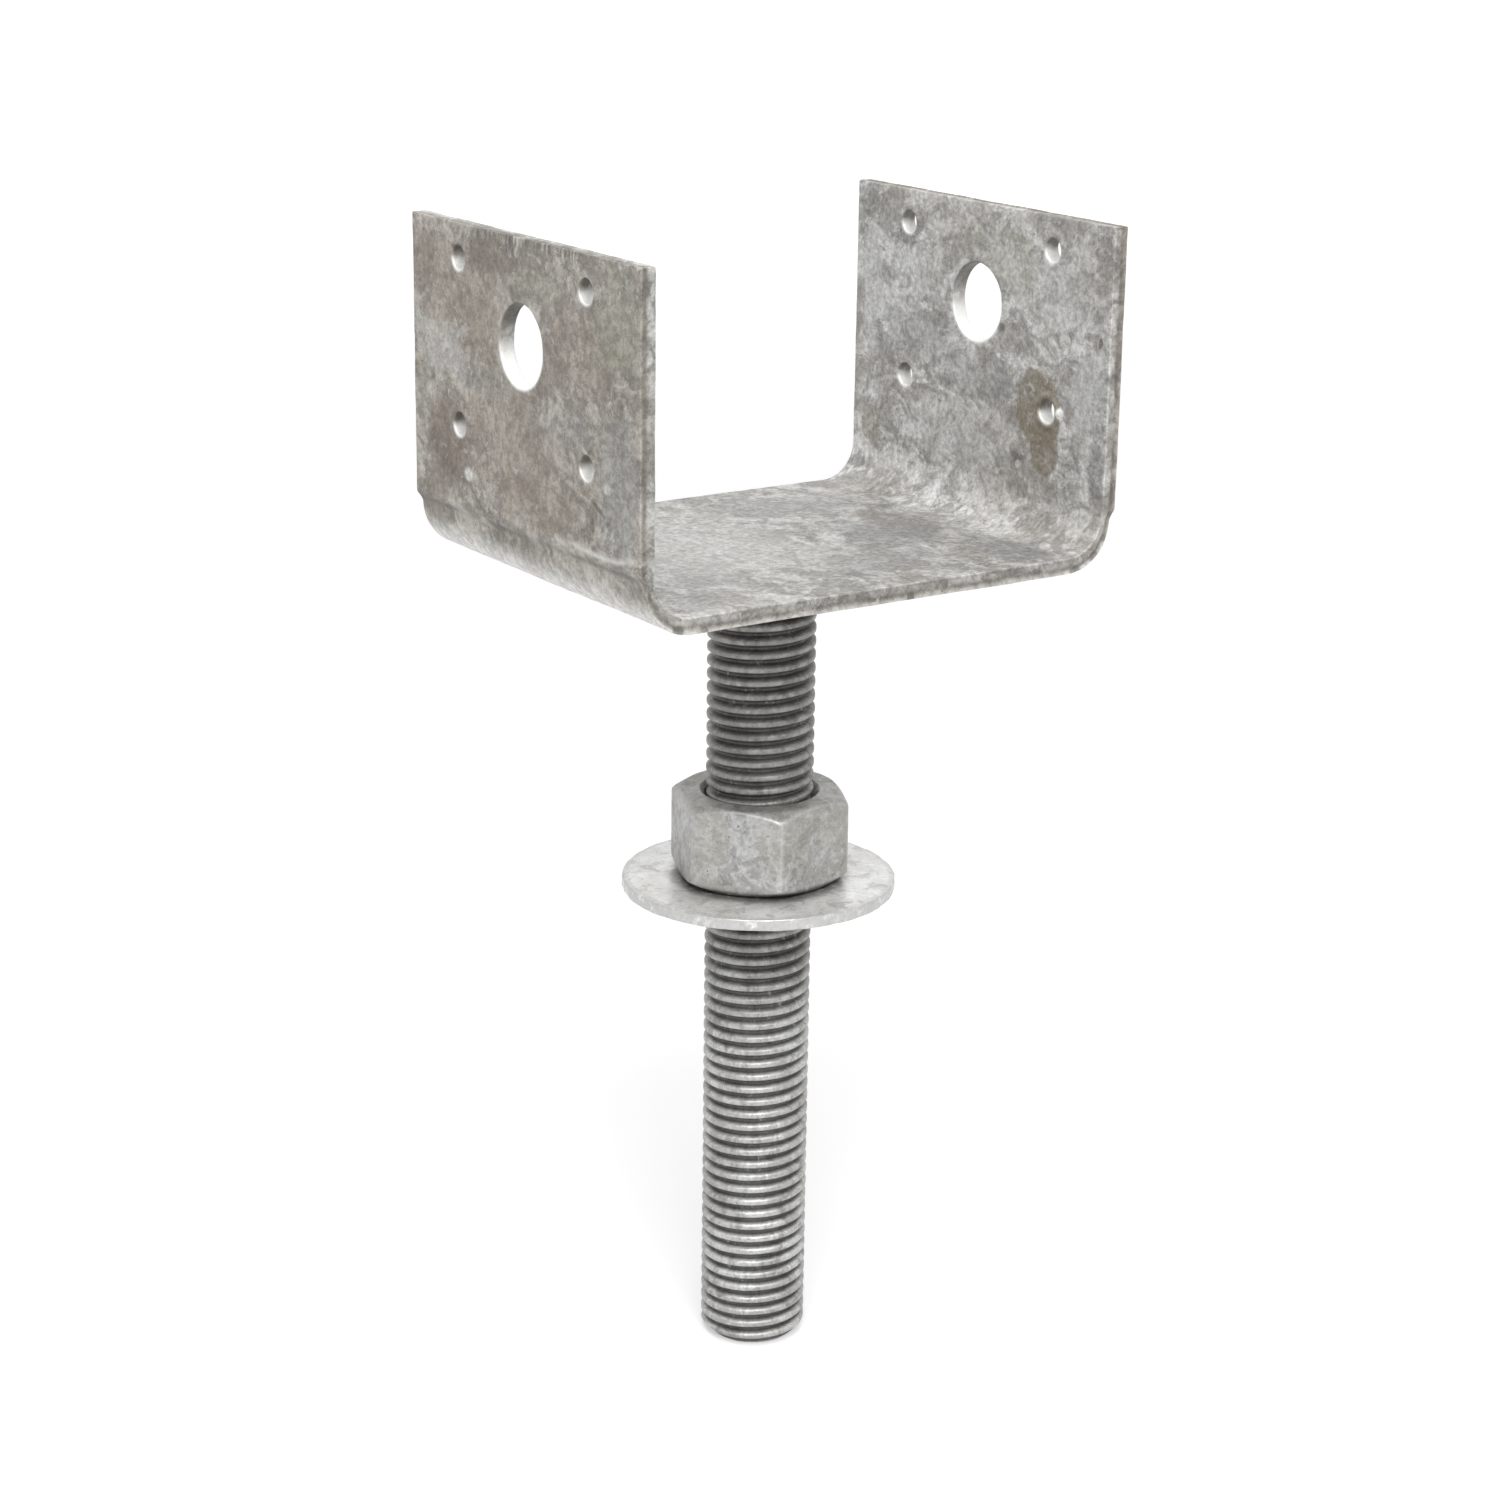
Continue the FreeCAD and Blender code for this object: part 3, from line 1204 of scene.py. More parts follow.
    def on_cheek(
        self, side: int, v: float, z: float, half_v: float, half_z: float,
        tint: Tint, share: float, **rim: float,
    ) -> Patch:
        """A patch on the outside of the left cheek or the inside of the right one.

        Args:
            side: -1 for the left cheek and 1 for the right one.
            v: its middle along the depth, in millimetres.
            z: its middle's height over the seat, in millimetres.
            half_v: its half width along the depth, in millimetres.
            half_z: its half height, in millimetres.
            tint: its colour.
            share: how much of it covers the zinc.
            rim: the patch's ragged, soft and turn, where they aren't the usual ones.

        Returns:
            The patch.
        """
        at = (side * self.along(z * MM), v * MM, min(side, 0) * self.thickness)
        return Patch(at, (half_z * MM, half_v * MM, PATCH_DEPTH), tint, share, **rim)

    def on_seat(
        self, x: float, y: float, half_x: float, half_y: float, tint: Tint, share: float, **rim: float,
    ) -> Patch:
        """A patch on top of the base, its middle and half widths in millimetres."""
        return Patch((x * MM, y * MM, 0.0), (half_x * MM, half_y * MM, PATCH_DEPTH), tint, share, **rim)

    def on_front(self, u: float, w: float, half: float, tint: Tint, share: float) -> Patch:
        """A dot on the front cut edge, its middle and half width in millimetres."""
        at = (u * MM, -self.half_depth, w * MM)
        return Patch(at, (half * MM,) * 3, tint, share, ragged=0.3, soft=0.3)

    def patches(self) -> list[Patch]:
        """Patches of the weathered zinc, each placed in millimetres on a cheek, the seat or the front.

        Returns:
            The patches, the lowest layer first.
        """
        left, right = partial(self.on_cheek, -1), partial(self.on_cheek, 1)
        seat, front = self.on_seat, self.on_front
        return [
            left(25, 20.5, 9.0, 7.5, Tint.UMBER, 0.70),
            left(17, 41, 10, 7.0, Tint.BROWN, 0.65),
            left(29, 49.5, 6.0, 5.0, Tint.BROWN, 0.45),
            left(27, 34.5, 9.5, 4.4, Tint.PALE, 0.48, ragged=1.1, soft=0.12),
            left(12, 31, 9.0, 3.0, Tint.GREY, 0.45, ragged=1.0, soft=0.2),
            left(-14, 28, 10, 3.5, Tint.GREY, 0.40, ragged=1.0, soft=0.2),
            left(8, 52.5, 14, 2.6, Tint.UMBER, 0.40, ragged=0.9, soft=0.2),
            left(34, 26, 2.6, 9.0, Tint.SAGE, 0.45, ragged=0.8),
            left(5, 24, 16, 10, Tint.BROWN, 0.40),
            left(-5, 14, 15, 4.5, Tint.BROWN, 0.50),
            left(-20, 40, 10, 7.0, Tint.BROWN, 0.40),
            left(-31, 20, 6.0, 12, Tint.GREY, 0.55),
            left(-31, 47, 7.0, 8.0, Tint.SAGE, 0.60),
            left(-4, 49.5, 9.0, 2.2, Tint.SAGE, 0.55),
            left(-1, 47.6, 5.5, 1.1, Tint.BLACK, 0.35, soft=0.6),
            left(18, 14.2, 1.2, 1.0, Tint.WHITE, 0.65, soft=0.5),
            left(-27.5, 20, 1.3, 0.8, Tint.WHITE, 0.45, soft=0.5),
            left(-24.5, 16.6, 2.2, 0.45, Tint.BLACK, 0.60, turn=0.5),
            left(-27.0, 14.0, 1.7, 0.40, Tint.BLACK, 0.55, turn=-0.7),
            left(-23.0, 13.2, 0.45, 1.5, Tint.BLACK, 0.50),
            right(-18.6, 22.6, 6.2, 7.0, Tint.STAIN, 0.78, ragged=0.16, soft=0.07, turn=0.35),
            right(-20.6, 15.8, 3.8, 5.2, Tint.STAIN, 0.70, ragged=0.20, soft=0.08),
            right(-24.8, 22.6, 0.9, 1.0, Tint.WHITE, 0.95, ragged=0.1, soft=0.3),
            right(-12.9, 12.4, 2.0, 1.7, Tint.BLACK, 0.50, ragged=0.2, soft=0.4),
            right(-13.6, 11.6, 0.9, 0.8, Tint.PALE, 0.80, ragged=0.1),
            right(-3.3, 51.3, 1.9, 1.8, Tint.PALE, 0.55, ragged=0.15),
            right(-3.3, 51.5, 0.7, 0.6, Tint.SLATE, 0.60, ragged=0.1),
            right(-7.6, 35.4, 1.1, 0.9, Tint.BLACK, 0.50),
            right(8.4, 40, 0.7, 1.6, Tint.BLACK, 0.45),
            right(25.8, 40.5, 1.3, 1.0, Tint.BLACK, 0.40),
            right(-34.8, 36.5, 0.6, 1.0, Tint.BLACK, 0.60),
            right(-35.2, 28, 0.5, 1.4, Tint.BLACK, 0.50),
            right(31.5, 11.5, 3.2, 4.0, Tint.STAIN, 0.45),
            right(26, 18.8, 3.5, 3.0, Tint.UMBER, 0.35),
            right(18, 31, 11, 4.5, Tint.SLATE, 0.45, ragged=0.7),
            right(-31.8, 27, 4.2, 6.5, Tint.PALE, 0.80, soft=0.2),
            right(-25, 44, 8.0, 6.0, Tint.PALE, 0.40, ragged=0.8, soft=0.2),
            right(32.5, 38, 3.0, 11, Tint.PALE, 0.65, ragged=0.7, soft=0.2),
            right(17, 42, 9.0, 5.0, Tint.PALE, 0.35, ragged=0.9, soft=0.2),
            right(-2, 26, 12, 4.0, Tint.SLATE, 0.35, ragged=1.0, soft=0.2),
            right(-35, 14, 2.2, 6.0, Tint.SLATE, 0.50, ragged=0.8),
            right(-9, 48, 9.0, 6.0, Tint.SAGE, 0.35),
            right(15.0, 22.0, 3.4, 0.40, Tint.WHITE, 0.45, ragged=0.8, turn=0.12),
            right(9.0, 21.6, 4.0, 0.40, Tint.WHITE, 0.35, ragged=0.8, turn=-0.15),
            right(12.5, 20.9, 5.5, 0.45, Tint.BLACK, 0.30, ragged=0.8, turn=-0.06),
            right(5, 12.5, 15, 4.0, Tint.PALE, 0.35),
            seat(-18, 8, 20, 26, Tint.PALE, 0.50, soft=0.6),
            seat(25, -4, 10, 10, Tint.SLATE, 0.75, ragged=0.8),
            seat(34, -27, 5.5, 9.0, Tint.SLATE, 0.75, ragged=0.8),
            seat(12, -21, 13, 6.0, Tint.GREY, 0.55, ragged=0.8),
            seat(20, 22, 14, 7.0, Tint.GREY, 0.50, ragged=0.8),
            seat(-34, -30, 5.0, 5.0, Tint.SLATE, 0.45, ragged=0.8),
            seat(-27, -18, 6.0, 4.0, Tint.GREY, 0.45),
            seat(-13.5, -16.3, 2.0, 1.2, Tint.BLACK, 0.30),
            front(-41.0, -2.3, 0.8, Tint.BLACK, 0.60),
            front(-36.5, -2.5, 0.6, Tint.BLACK, 0.50),
            front(4.8, -2.6, 0.8, Tint.BLACK, 0.75),
            front(40.0, -2.6, 0.9, Tint.BLACK, 0.60),
            front(43.5, -2.5, 0.8, Tint.BLACK, 0.60),
            front(46.5, -2.3, 0.6, Tint.BLACK, 0.50),
        ]

    def dress(self, piece: bpy.types.Object, finish: ZincFinish) -> None:
        """Give the saddle its zinc.

        The outside is browner and darker than the inside, and a painted reflection of the floor brightens the
        squeezed outside of each fold and the underside; patches, painted shade in the creases, a painted
        highlight under each hole, painted shade over it and the groove of the cut edge lie over that.

        Args:
            piece: the saddle's object, with its marks.
            finish: its zinc.
        """
        shader = Shader(finish.name)
        place = shader.where("strip")
        colour, relief = finish.base(shader, place)
        outer = shader.ease(shader.mark("through"), 0.42, 0.70)
        colour = shader.wash(colour, outer, Wash.OUTSIDE)
        # Painted reflection of the floor: the underside and the squeezed outside of each fold brightened.
        colour = shader.cover(colour, shader.mark("under"), 0.8, Tint.PAINTED_FLOOR_BOUNCE.value)
        colour = shader.wash(colour, shader.mark("seat"), Wash.SEAT)
        colour = shader.wash(colour, shader.mark("cut"), Wash.CUT)
        ragged = shader.noise(place, 4.5 * MM, detail=7.0, roughness=0.68, distortion=0.5)
        for patch in self.patches():
            colour = shader.blend(shader.spot(place, patch, ragged), colour, patch.tint.value)
        uneven = shader.flecks(place, 6.0 * MM, (0.34, 0.60), detail=5.0)
        # Painted shade in the creases of the folds.
        crease = shader.times(shader.mark("crease"), uneven)
        colour = shader.cover(colour, crease, 0.8, finish.dark)
        groove = shader.times(shader.times(shader.mark("groove"), shader.mark("cut")), uneven)
        colour = shader.cover(colour, groove, 0.75, finish.dark)
        strokes = shader.flecks(shader.stretch(place, Grain.STROKES), 0.9 * MM, (0.50, 0.58), detail=2.0)
        colour = shader.cover(colour, shader.times(strokes, shader.mark("sheared")), 0.85, finish.dark)
        colour, relief = finish.grit(shader, place, colour, relief)
        bead = shader.times(shader.times(shader.mark("bead"), uneven), 0.6)
        # Painted highlight on the lower side of each hole, and the bead's white zinc.
        light = shader.greater(shader.times(shader.mark("rim"), 0.9), bead)
        colour = shader.blend(light, colour, Tint.WHITE.value)
        # Painted shade in the upper side of each hole's mouth.
        colour = shader.cover(colour, shader.mark("mouth"), 0.8, finish.dark)
        piece.data.materials.append(finish.settle(shader, colour, relief, shader.noise(place, 6.0 * MM)))


# ---------------------------------------------------------------------------------------------
# Thread, stud, nut, washer and weld
# ---------------------------------------------------------------------------------------------


@dataclass(frozen=True)
class Thread:
    """A right-hand coarse thread, its crests and roots rounded by the zinc.

    Attributes:
        major: radius over the crests.
        pitch: rise of one turn.
        depth: from crest to root.
        crest: half width of the crest's flat, as a share of the pitch.
        root: half width of the root's flat, as a share of the pitch.
        start: height at which a crest crosses the +X side.
        easing: how much of the flank is eased; the rest is straight.
    """

    major: float
    pitch: float = 2.5 * MM
    depth: float = 1.35 * MM
    crest: float = 0.15
    root: float = 0.10
    start: float = 0.0
    easing: float = 0.65

    def sink(self, phase: np.ndarray) -> np.ndarray:
        """Share of the depth at a phase of the thread: 0 on a crest, at whole numbers, and 1 in a root.

        Args:
            phase: turns of the thread.

        Returns:
            The share: a straight flank and an eased one, mixed.
        """
        away = np.abs(phase - np.round(phase))
        share = np.clip((away - self.crest) / (0.5 - self.root - self.crest), 0.0, 1.0)
        return (1.0 - self.easing) * share + self.easing * share * share * (3.0 - 2.0 * share)

    def phase(self, angle: np.ndarray, height: np.ndarray) -> np.ndarray:
        """Phase of the thread at a place: one more for each pitch up, one less for each turn."""
        return (height - self.start) / self.pitch - angle / TURN


@dataclass
class AnchorStud:
    """The threaded stud, from the base's underside to its chamfered free end.

    Attributes:
        low: lower corner of its box.
        high: upper corner of its box.
        thread: the thread on it.
        chamfer: of its free end.
        uneven: how far the zinc's lumps change its radius, as a share of it.
        shade_heights: heights between which painted shade of the saddle grows towards the base.
        columns: points round the stud.
        rows_per_turn: points along one pitch.
    """

    low: Vector
    high: Vector
    thread: Thread
    chamfer: float = 2.0 * MM
    uneven: float = 0.0022
    shade_heights: tuple[float, float] = (-0.095, -0.060)
    columns: int = 112
    rows_per_turn: int = 12

    def build(self) -> bpy.types.Object:
        """The stud's mesh.

        Each row of points is a helix of one phase, which rises one pitch round the stud, so that crests
        and roots lie along rows; a row's last point joins the row one pitch further on.  Both ends are
        then cut square.  The radius is the thread's, or the end's cone where that is less.

        Returns:
            The finished piece, with the depth in the thread as its mark `groove`.
        """
        pitch, major = self.thread.pitch, self.thread.major
        turns = math.ceil((self.high.z - self.low.z) / pitch) + 3
        first = self.thread.start + math.floor((self.low.z - self.thread.start) / pitch - 1) * pitch
        row = np.arange(turns * self.rows_per_turn)[:, None]
        angle = round_angles(self.columns)
        height = first + row * (pitch / self.rows_per_turn) + angle / TURN * pitch
        sink = self.thread.sink(self.thread.phase(angle, height))
        cone = major - self.chamfer + (height - self.low.z)
        radius = np.minimum(major - self.thread.depth * sink, np.maximum(cone, 0.5 * major))
        points = ring_points(angle, radius, height)
        points[:, :2] *= (1.0 + self.uneven * (rough(points, 3.0 * MM, 41) - 0.8))[:, None]
        quads = grid_faces(len(row), self.columns, close=True, shift=self.rows_per_turn)
        piece = mesh_piece("anchor_stud_thread", points, quads, {"groove": sink.ravel()})
        self.cut_square(piece)
        return piece

    def cut_square(self, piece: bpy.types.Object) -> None:
        """Cut both ends off square and close them.

        Args:
            piece: the stud's object, longer than the stud at both ends.
        """
        work = bmesh.new()
        work.from_mesh(piece.data)
        for height, outwards in ((self.low.z, -1.0), (self.high.z, 1.0)):
            cut = bmesh.ops.bisect_plane(
                work, geom=[*work.verts, *work.edges, *work.faces], dist=1e-7,
                plane_co=(0, 0, height), plane_no=(0, 0, outwards), clear_outer=True,
            )
            edges = [item for item in cut["geom_cut"] if isinstance(item, bmesh.types.BMEdge)]
            bmesh.ops.contextual_create(work, geom=edges)
        drop_loose(work)
        bmesh.ops.recalc_face_normals(work, faces=work.faces)
        work.to_mesh(piece.data)
        work.free()

    def dress(self, piece: bpy.types.Object, finish: ZincFinish) -> None:
        """Zinc with painted shade in the roots and brighter crests, and painted shade of the saddle towards
        the base.

        Args:
            piece: the stud's object, with its mark.
            finish: its zinc.
        """
        shader = Shader(finish.name)
        place = shader.where()
        colour, relief = finish.base(shader, place)
        # Painted shade of the saddle: the stud darkened towards its top.
        split = shader.node("ShaderNodeSeparateXYZ")
        shader.feed(split.inputs[0], place)
        saddle_shade = shader.times(shader.ease(split.outputs["Z"], *self.shade_heights), 0.8)
        colour = shader.wash(colour, saddle_shade, Wash.UNDER_SADDLE_SHADE)
        # Painted shade in the roots of the thread.
        groove = shader.ease(shader.mark("groove"), 0.25, 0.9)
        colour = shader.cover(colour, groove, 0.8, finish.dark)
        colour, relief = finish.grit(shader, place, colour, relief)
        piece.data.materials.append(finish.settle(shader, colour, relief, shader.noise(place, 3.0 * MM)))


@dataclass
class LevellingNut:
    """The hex nut: chamfered at both ends, countersunk and threaded.

    Attributes:
        low: lower corner of its box.
        high: upper corner of its box.
        thread: the stud's thread.
        across_flats: between two opposite flats.
        first_corner: angle of a corner from +X.
        face_radius: of the flat ring that the chamfer leaves on each end.
        chamfer_angle: of the chamfer's cone from the end face.
        sink_radius: of the countersink's mouth.
        running_gap: between the nut's thread and the stud's.
        lumps: how uneven the zinc is.
        softness: power that joins the surfaces; the higher, the sharper the edges.
        columns: points round the nut.
        rows: points up its side.
        rows_per_turn: points along one pitch of its bore.
    """

    low: Vector
    high: Vector
    thread: Thread
    across_flats: float = 29.3 * MM
    first_corner: float = math.radians(10.0)
    face_radius: float = 14.2 * MM
    chamfer_angle: float = math.radians(30.0)
    sink_radius: float = 10.8 * MM
    running_gap: float = 0.14 * MM
    lumps: float = 0.05 * MM
    softness: float = 52.0
    columns: int = 288
    rows: int = 61
    rows_per_turn: int = 14

    def outside(self, angle: np.ndarray, height: np.ndarray) -> tuple[np.ndarray, np.ndarray]:
        """Outer radius of the nut: the least of its six flats and two chamfer cones, softly joined.

        One over the radius is the power mean of one over each surface's radius, so that a corner
        between two of them is rounded off.

        Args:
            angle: from +X, in radians.
            height: in the same shape.

        Returns:
            The radius, and how much of an edge the point is: 0 on a flat and up to 1 on a corner.
        """
        middle, half = (self.low.z + self.high.z) / 2, (self.high.z - self.low.z) / 2
        normals = self.first_corner + TURN / 12 + np.arange(6) * TURN / 6
        toward = np.maximum(np.cos(angle[..., None] - normals), 0.0) / (self.across_flats / 2)
        cone = self.face_radius + (half - np.abs(height - middle)) / math.tan(self.chamfer_angle)
        terms = np.concatenate([toward, 1.0 / cone[..., None]], axis=-1)
        peak = terms.max(axis=-1)
        share = ((terms / peak[..., None]) ** self.softness).sum(axis=-1)
        return 1.0 / (peak * share ** (1.0 / self.softness)), np.clip((share - 1.0) * 1.3, 0.0, 1.0)

    def build(self) -> bpy.types.Object:
        """The nut's mesh: its section's outline, carried once round the stud, as one closed ring.

        The outline runs up the side, in over the top, down the countersink and the thread, and out
        under the bottom.  The thread's radius is the stud's with a running gap, or the countersink's
        cone where that is more.  Only the shell round the bore is roughened.

        Returns:
            The finished piece, with the marks `edge`, `bore` and `grime`.
        """
        angle = round_angles(self.columns)
        bottom, top = self.low.z, self.high.z
        side = np.repeat(np.linspace(bottom, top, self.rows)[:, None], self.columns, axis=1)
        side_radius, side_edge = self.outside(np.broadcast_to(angle, side.shape), side)
        inward = np.linspace(0.0, 1.0, 16)[1:-1, None]
        face = side_radius[-1] + (self.sink_radius - side_radius[-1]) * inward
        bore_rows = round((top - bottom) / self.thread.pitch * self.rows_per_turn) + 1
        inner = np.repeat(np.linspace(top, bottom, bore_rows)[:, None], self.columns, axis=1)
        groove = self.thread.sink(self.thread.phase(angle, inner))
        bore = self.thread.major + self.running_gap - self.thread.depth * groove
        bore = np.maximum(bore, self.sink_radius - np.minimum(top - inner, inner - bottom))
        stretches = [side_radius, face, bore, face[::-1]]

        def outline(*values: float | np.ndarray) -> np.ndarray:
            """Values along the whole outline, from those on its side, top, bore and bottom."""
            return np.concatenate([np.broadcast_to(v, part.shape) for v, part in zip(values, stretches)])

        radius, height = np.concatenate(stretches), outline(side, top, inner, bottom)
        marks = {
            # corners of the nut: bare zinc with a painted highlight
            "edge": outline(side_edge, 0.0, 0.0, 0.0),
            "bore": outline(0.0, 0.0, 1.0, 0.0),
            # painted shade with some grime: the foot of the side, the bore and the underside
            "grime": outline(fade(0.5 * MM, 1.3 * MM, side - bottom), 0.0, 1.0, 1.0),
        }
        piece = mesh_piece(
            "levelling_nut_zinc", ring_points(angle, radius, height), ring_faces(len(radius), self.columns),
            {name: mark.ravel() for name, mark in marks.items()},
        )
        weld_seams(piece)
        points, normals = read_points(piece)
        out = self.lumps * (rough(points, 3.5 * MM, 51) - 1.0) * (1.0 - read_mark(piece, "bore"))
        write_points(piece, points + normals * out[:, None])
        return piece

    def dress(self, piece: bpy.types.Object, finish: ZincFinish) -> None:
        """Satin zinc; bare edges with a painted highlight, and painted shade with grime in the countersinks
        and at the foot.
        """
        piece.data.materials.append(finish.plain("grime"))


@dataclass
class BearingWasher:
    """The washer: a punched ring with a rolled and a rough rim.

    Attributes:
        low: lower corner of its box.
        high: upper corner of its box.
        bore: radius of its hole.
        roll: rounding of its edges.
        lumps: how uneven the zinc is.
        ragged: how much more uneven it is on the rim.
        columns: points round the washer.
    """

    low: Vector
    high: Vector
    bore: float = 11.0 * MM
    roll: float = 0.45 * MM
    lumps: float = 0.05 * MM
    ragged: float = 0.14 * MM
    columns: int = 256

    def section(self) -> tuple[np.ndarray, np.ndarray]:
        """The washer's section, from the middle of the ring: a rectangle with rounded corners.

        Each point of the square-cornered outline is drawn to within the rounding of an inner rectangle.

        Returns:
            How far out and how far up each point is, in order round the section.
        """
        half_width, half_height = (self.high.x - self.bore) / 2, (self.high.z - self.low.z) / 2
        flat, wall = np.linspace(-1.0, 1.0, 29), np.linspace(-1.0, 1.0, 9)[1:-1]
        out = np.concatenate([flat, np.ones_like(wall), -flat, -np.ones_like(wall)]) * half_width
        up = np.concatenate([-np.ones_like(flat), wall, np.ones_like(flat), -wall]) * half_height
        inner_out = np.clip(out, self.roll - half_width, half_width - self.roll)
        inner_up = np.clip(up, self.roll - half_height, half_height - self.roll)
        away = np.hypot(out - inner_out, up - inner_up)
        return inner_out + (out - inner_out) / away * self.roll, inner_up + (up - inner_up) / away * self.roll

    def grime(self, points: np.ndarray) -> np.ndarray:
        """Grime and painted shade at each point: grime in a line near the rim and on it, painted shade on top
        round the nut.

        Args:
            points: (n, 3) points of the washer.

        Returns:
            (n,) shares from 0 to 1.
        """
        reach = np.hypot(points[:, 0], points[:, 1])
        from_rim = (self.high.x - reach) / MM
        line = 0.45 * (smoothstep(0.25, 0.6, from_rim) * fade(0.7, 1.3, from_rim))
        rim = 0.55 * smoothstep(-0.35, -0.15, -from_rim)
        # Painted shade on top of the washer round the nut.
        nut_shade = 0.8 * (fade(15.2, 17.5, reach / MM) * (points[:, 2] > (self.low.z + self.high.z) / 2))
        return np.maximum(np.maximum(line, rim), nut_shade)

    def build(self) -> bpy.types.Object:
        """The washer's mesh: its section, carried round the stud.

        Returns:
            The finished piece, with the marks `edge` and `grime`.
        """
        out, up = self.section()
        angle = round_angles(self.columns)
        radius = np.repeat(((self.high.x + self.bore) / 2 + out)[:, None], self.columns, axis=1)
        height = np.repeat(((self.low.z + self.high.z) / 2 + up)[:, None], self.columns, axis=1)
        points = ring_points(angle, radius, height)
        edge = smoothstep(0.0, 1.0, (radius.ravel() - self.high.x + 1.2 * MM) / (0.8 * MM))
        piece = mesh_piece(
            "bearing_washer_zinc", points, ring_faces(len(out), self.columns),
            {"edge": edge, "grime": self.grime(points)},
        )
        weld_seams(piece)
        points, normals = read_points(piece)
        out = self.lumps * (rough(points, 4.0 * MM, 61) - 1.0)
        out += self.ragged * read_mark(piece, "edge") * (rough(points, 1.8 * MM, 67) - 0.9)
        write_points(piece, points + normals * out[:, None])
        return piece

    def dress(self, piece: bpy.types.Object, finish: ZincFinish) -> None:
        """Pale zinc, grimy on the rim, with painted shade round the nut."""
        piece.data.materials.append(finish.plain("grime"))


@dataclass
class WeldBead:
    """The fillet weld round the top of the stud, laid in overlapping ripples.

    Attributes:
        low: lower corner of its box.
        high: upper corner of its box.
        stud_radius: of the bar that it joins to the base.
        sunk: how far it reaches into the stud.
        ripples: how many ripples go round.
        columns: points round the bead.
        rows: points across its face.
    """

    low: Vector
    high: Vector
    stud_radius: float
    sunk: float = 0.3 * MM
    ripples: int = 34
    columns: int = 340
    rows: int = 25

    def build(self) -> bpy.types.Object:
        """The bead's mesh: from the stud round its bulging face to the base, and back inside.

        Its face follows a straight fillet with a rise in the middle, which wobbles slowly round the
        stud; the ripples are a wave round the stud whose phase lags towards both toes.

        Returns:
            The finished piece, with its ripples as the mark `edge`.
        """
        leg = self.high.z - self.low.z
        share = np.linspace(0.0, 1.0, self.rows)[:, None]
        angle = round_angles(self.columns)
        bulge = np.sin(share * math.pi)
        lag = 1.1 * (2 * share - 1) ** 2
        wobble = 1.0 + 0.05 * np.sin(3 * angle + 0.7) + 0.04 * np.sin(7 * angle)
        ripple = np.abs(np.sin(0.5 * self.ripples * angle + lag)) * bulge
        swell = leg * (0.09 * bulge * wobble + 0.045 * ripple - 0.03) * math.sqrt(0.5)
        inside = self.stud_radius - self.sunk
        radius = inside + leg * share * 0.97 * wobble**0.3 + swell
        height = self.low.z + leg * share - swell
        back = np.ones((1, self.columns))
        radius = np.minimum(np.concatenate([radius, inside * back]), self.high.x)
        height = np.clip(np.concatenate([height, self.high.z * back]), self.low.z, self.high.z)
        edge = 0.5 * np.concatenate([ripple, 0.0 * back])
        piece = mesh_piece(
            "weld_bead_zinc", ring_points(angle, radius, height), ring_faces(len(radius), self.columns),
            {"edge": edge.ravel()},
        )
        weld_seams(piece)
        return piece

    def dress(self, piece: bpy.types.Object, finish: ZincFinish) -> None:
        """Zinc over the weld."""
        piece.data.materials.append(finish.plain())


# ---------------------------------------------------------------------------------------------
# Studio
# ---------------------------------------------------------------------------------------------


@dataclass(frozen=True)
class SoftBox:
    """A square lamp.

    Attributes:
        name: its name.
        place: where it hangs.
        aim: what it is turned towards.
        side: length of its side in metres.
        power: in watts.
    """

    name: str
    place: Triple
    aim: Triple
    side: float
    power: float

    def hang(self) -> None:
        """Link the lamp to the scene, turned from its place towards its aim."""
        light = bpy.data.lights.new(self.name, "AREA")
        light.shape = "SQUARE"
        light.size = self.side
        light.energy = self.power
        lamp = bpy.data.objects.new(self.name, light)
        lamp.location = self.place
        lamp.rotation_mode = "QUATERNION"
        lamp.rotation_quaternion = (Vector(self.aim) - Vector(self.place)).to_track_quat("-Z", "Y")
        bpy.context.scene.collection.objects.link(lamp)


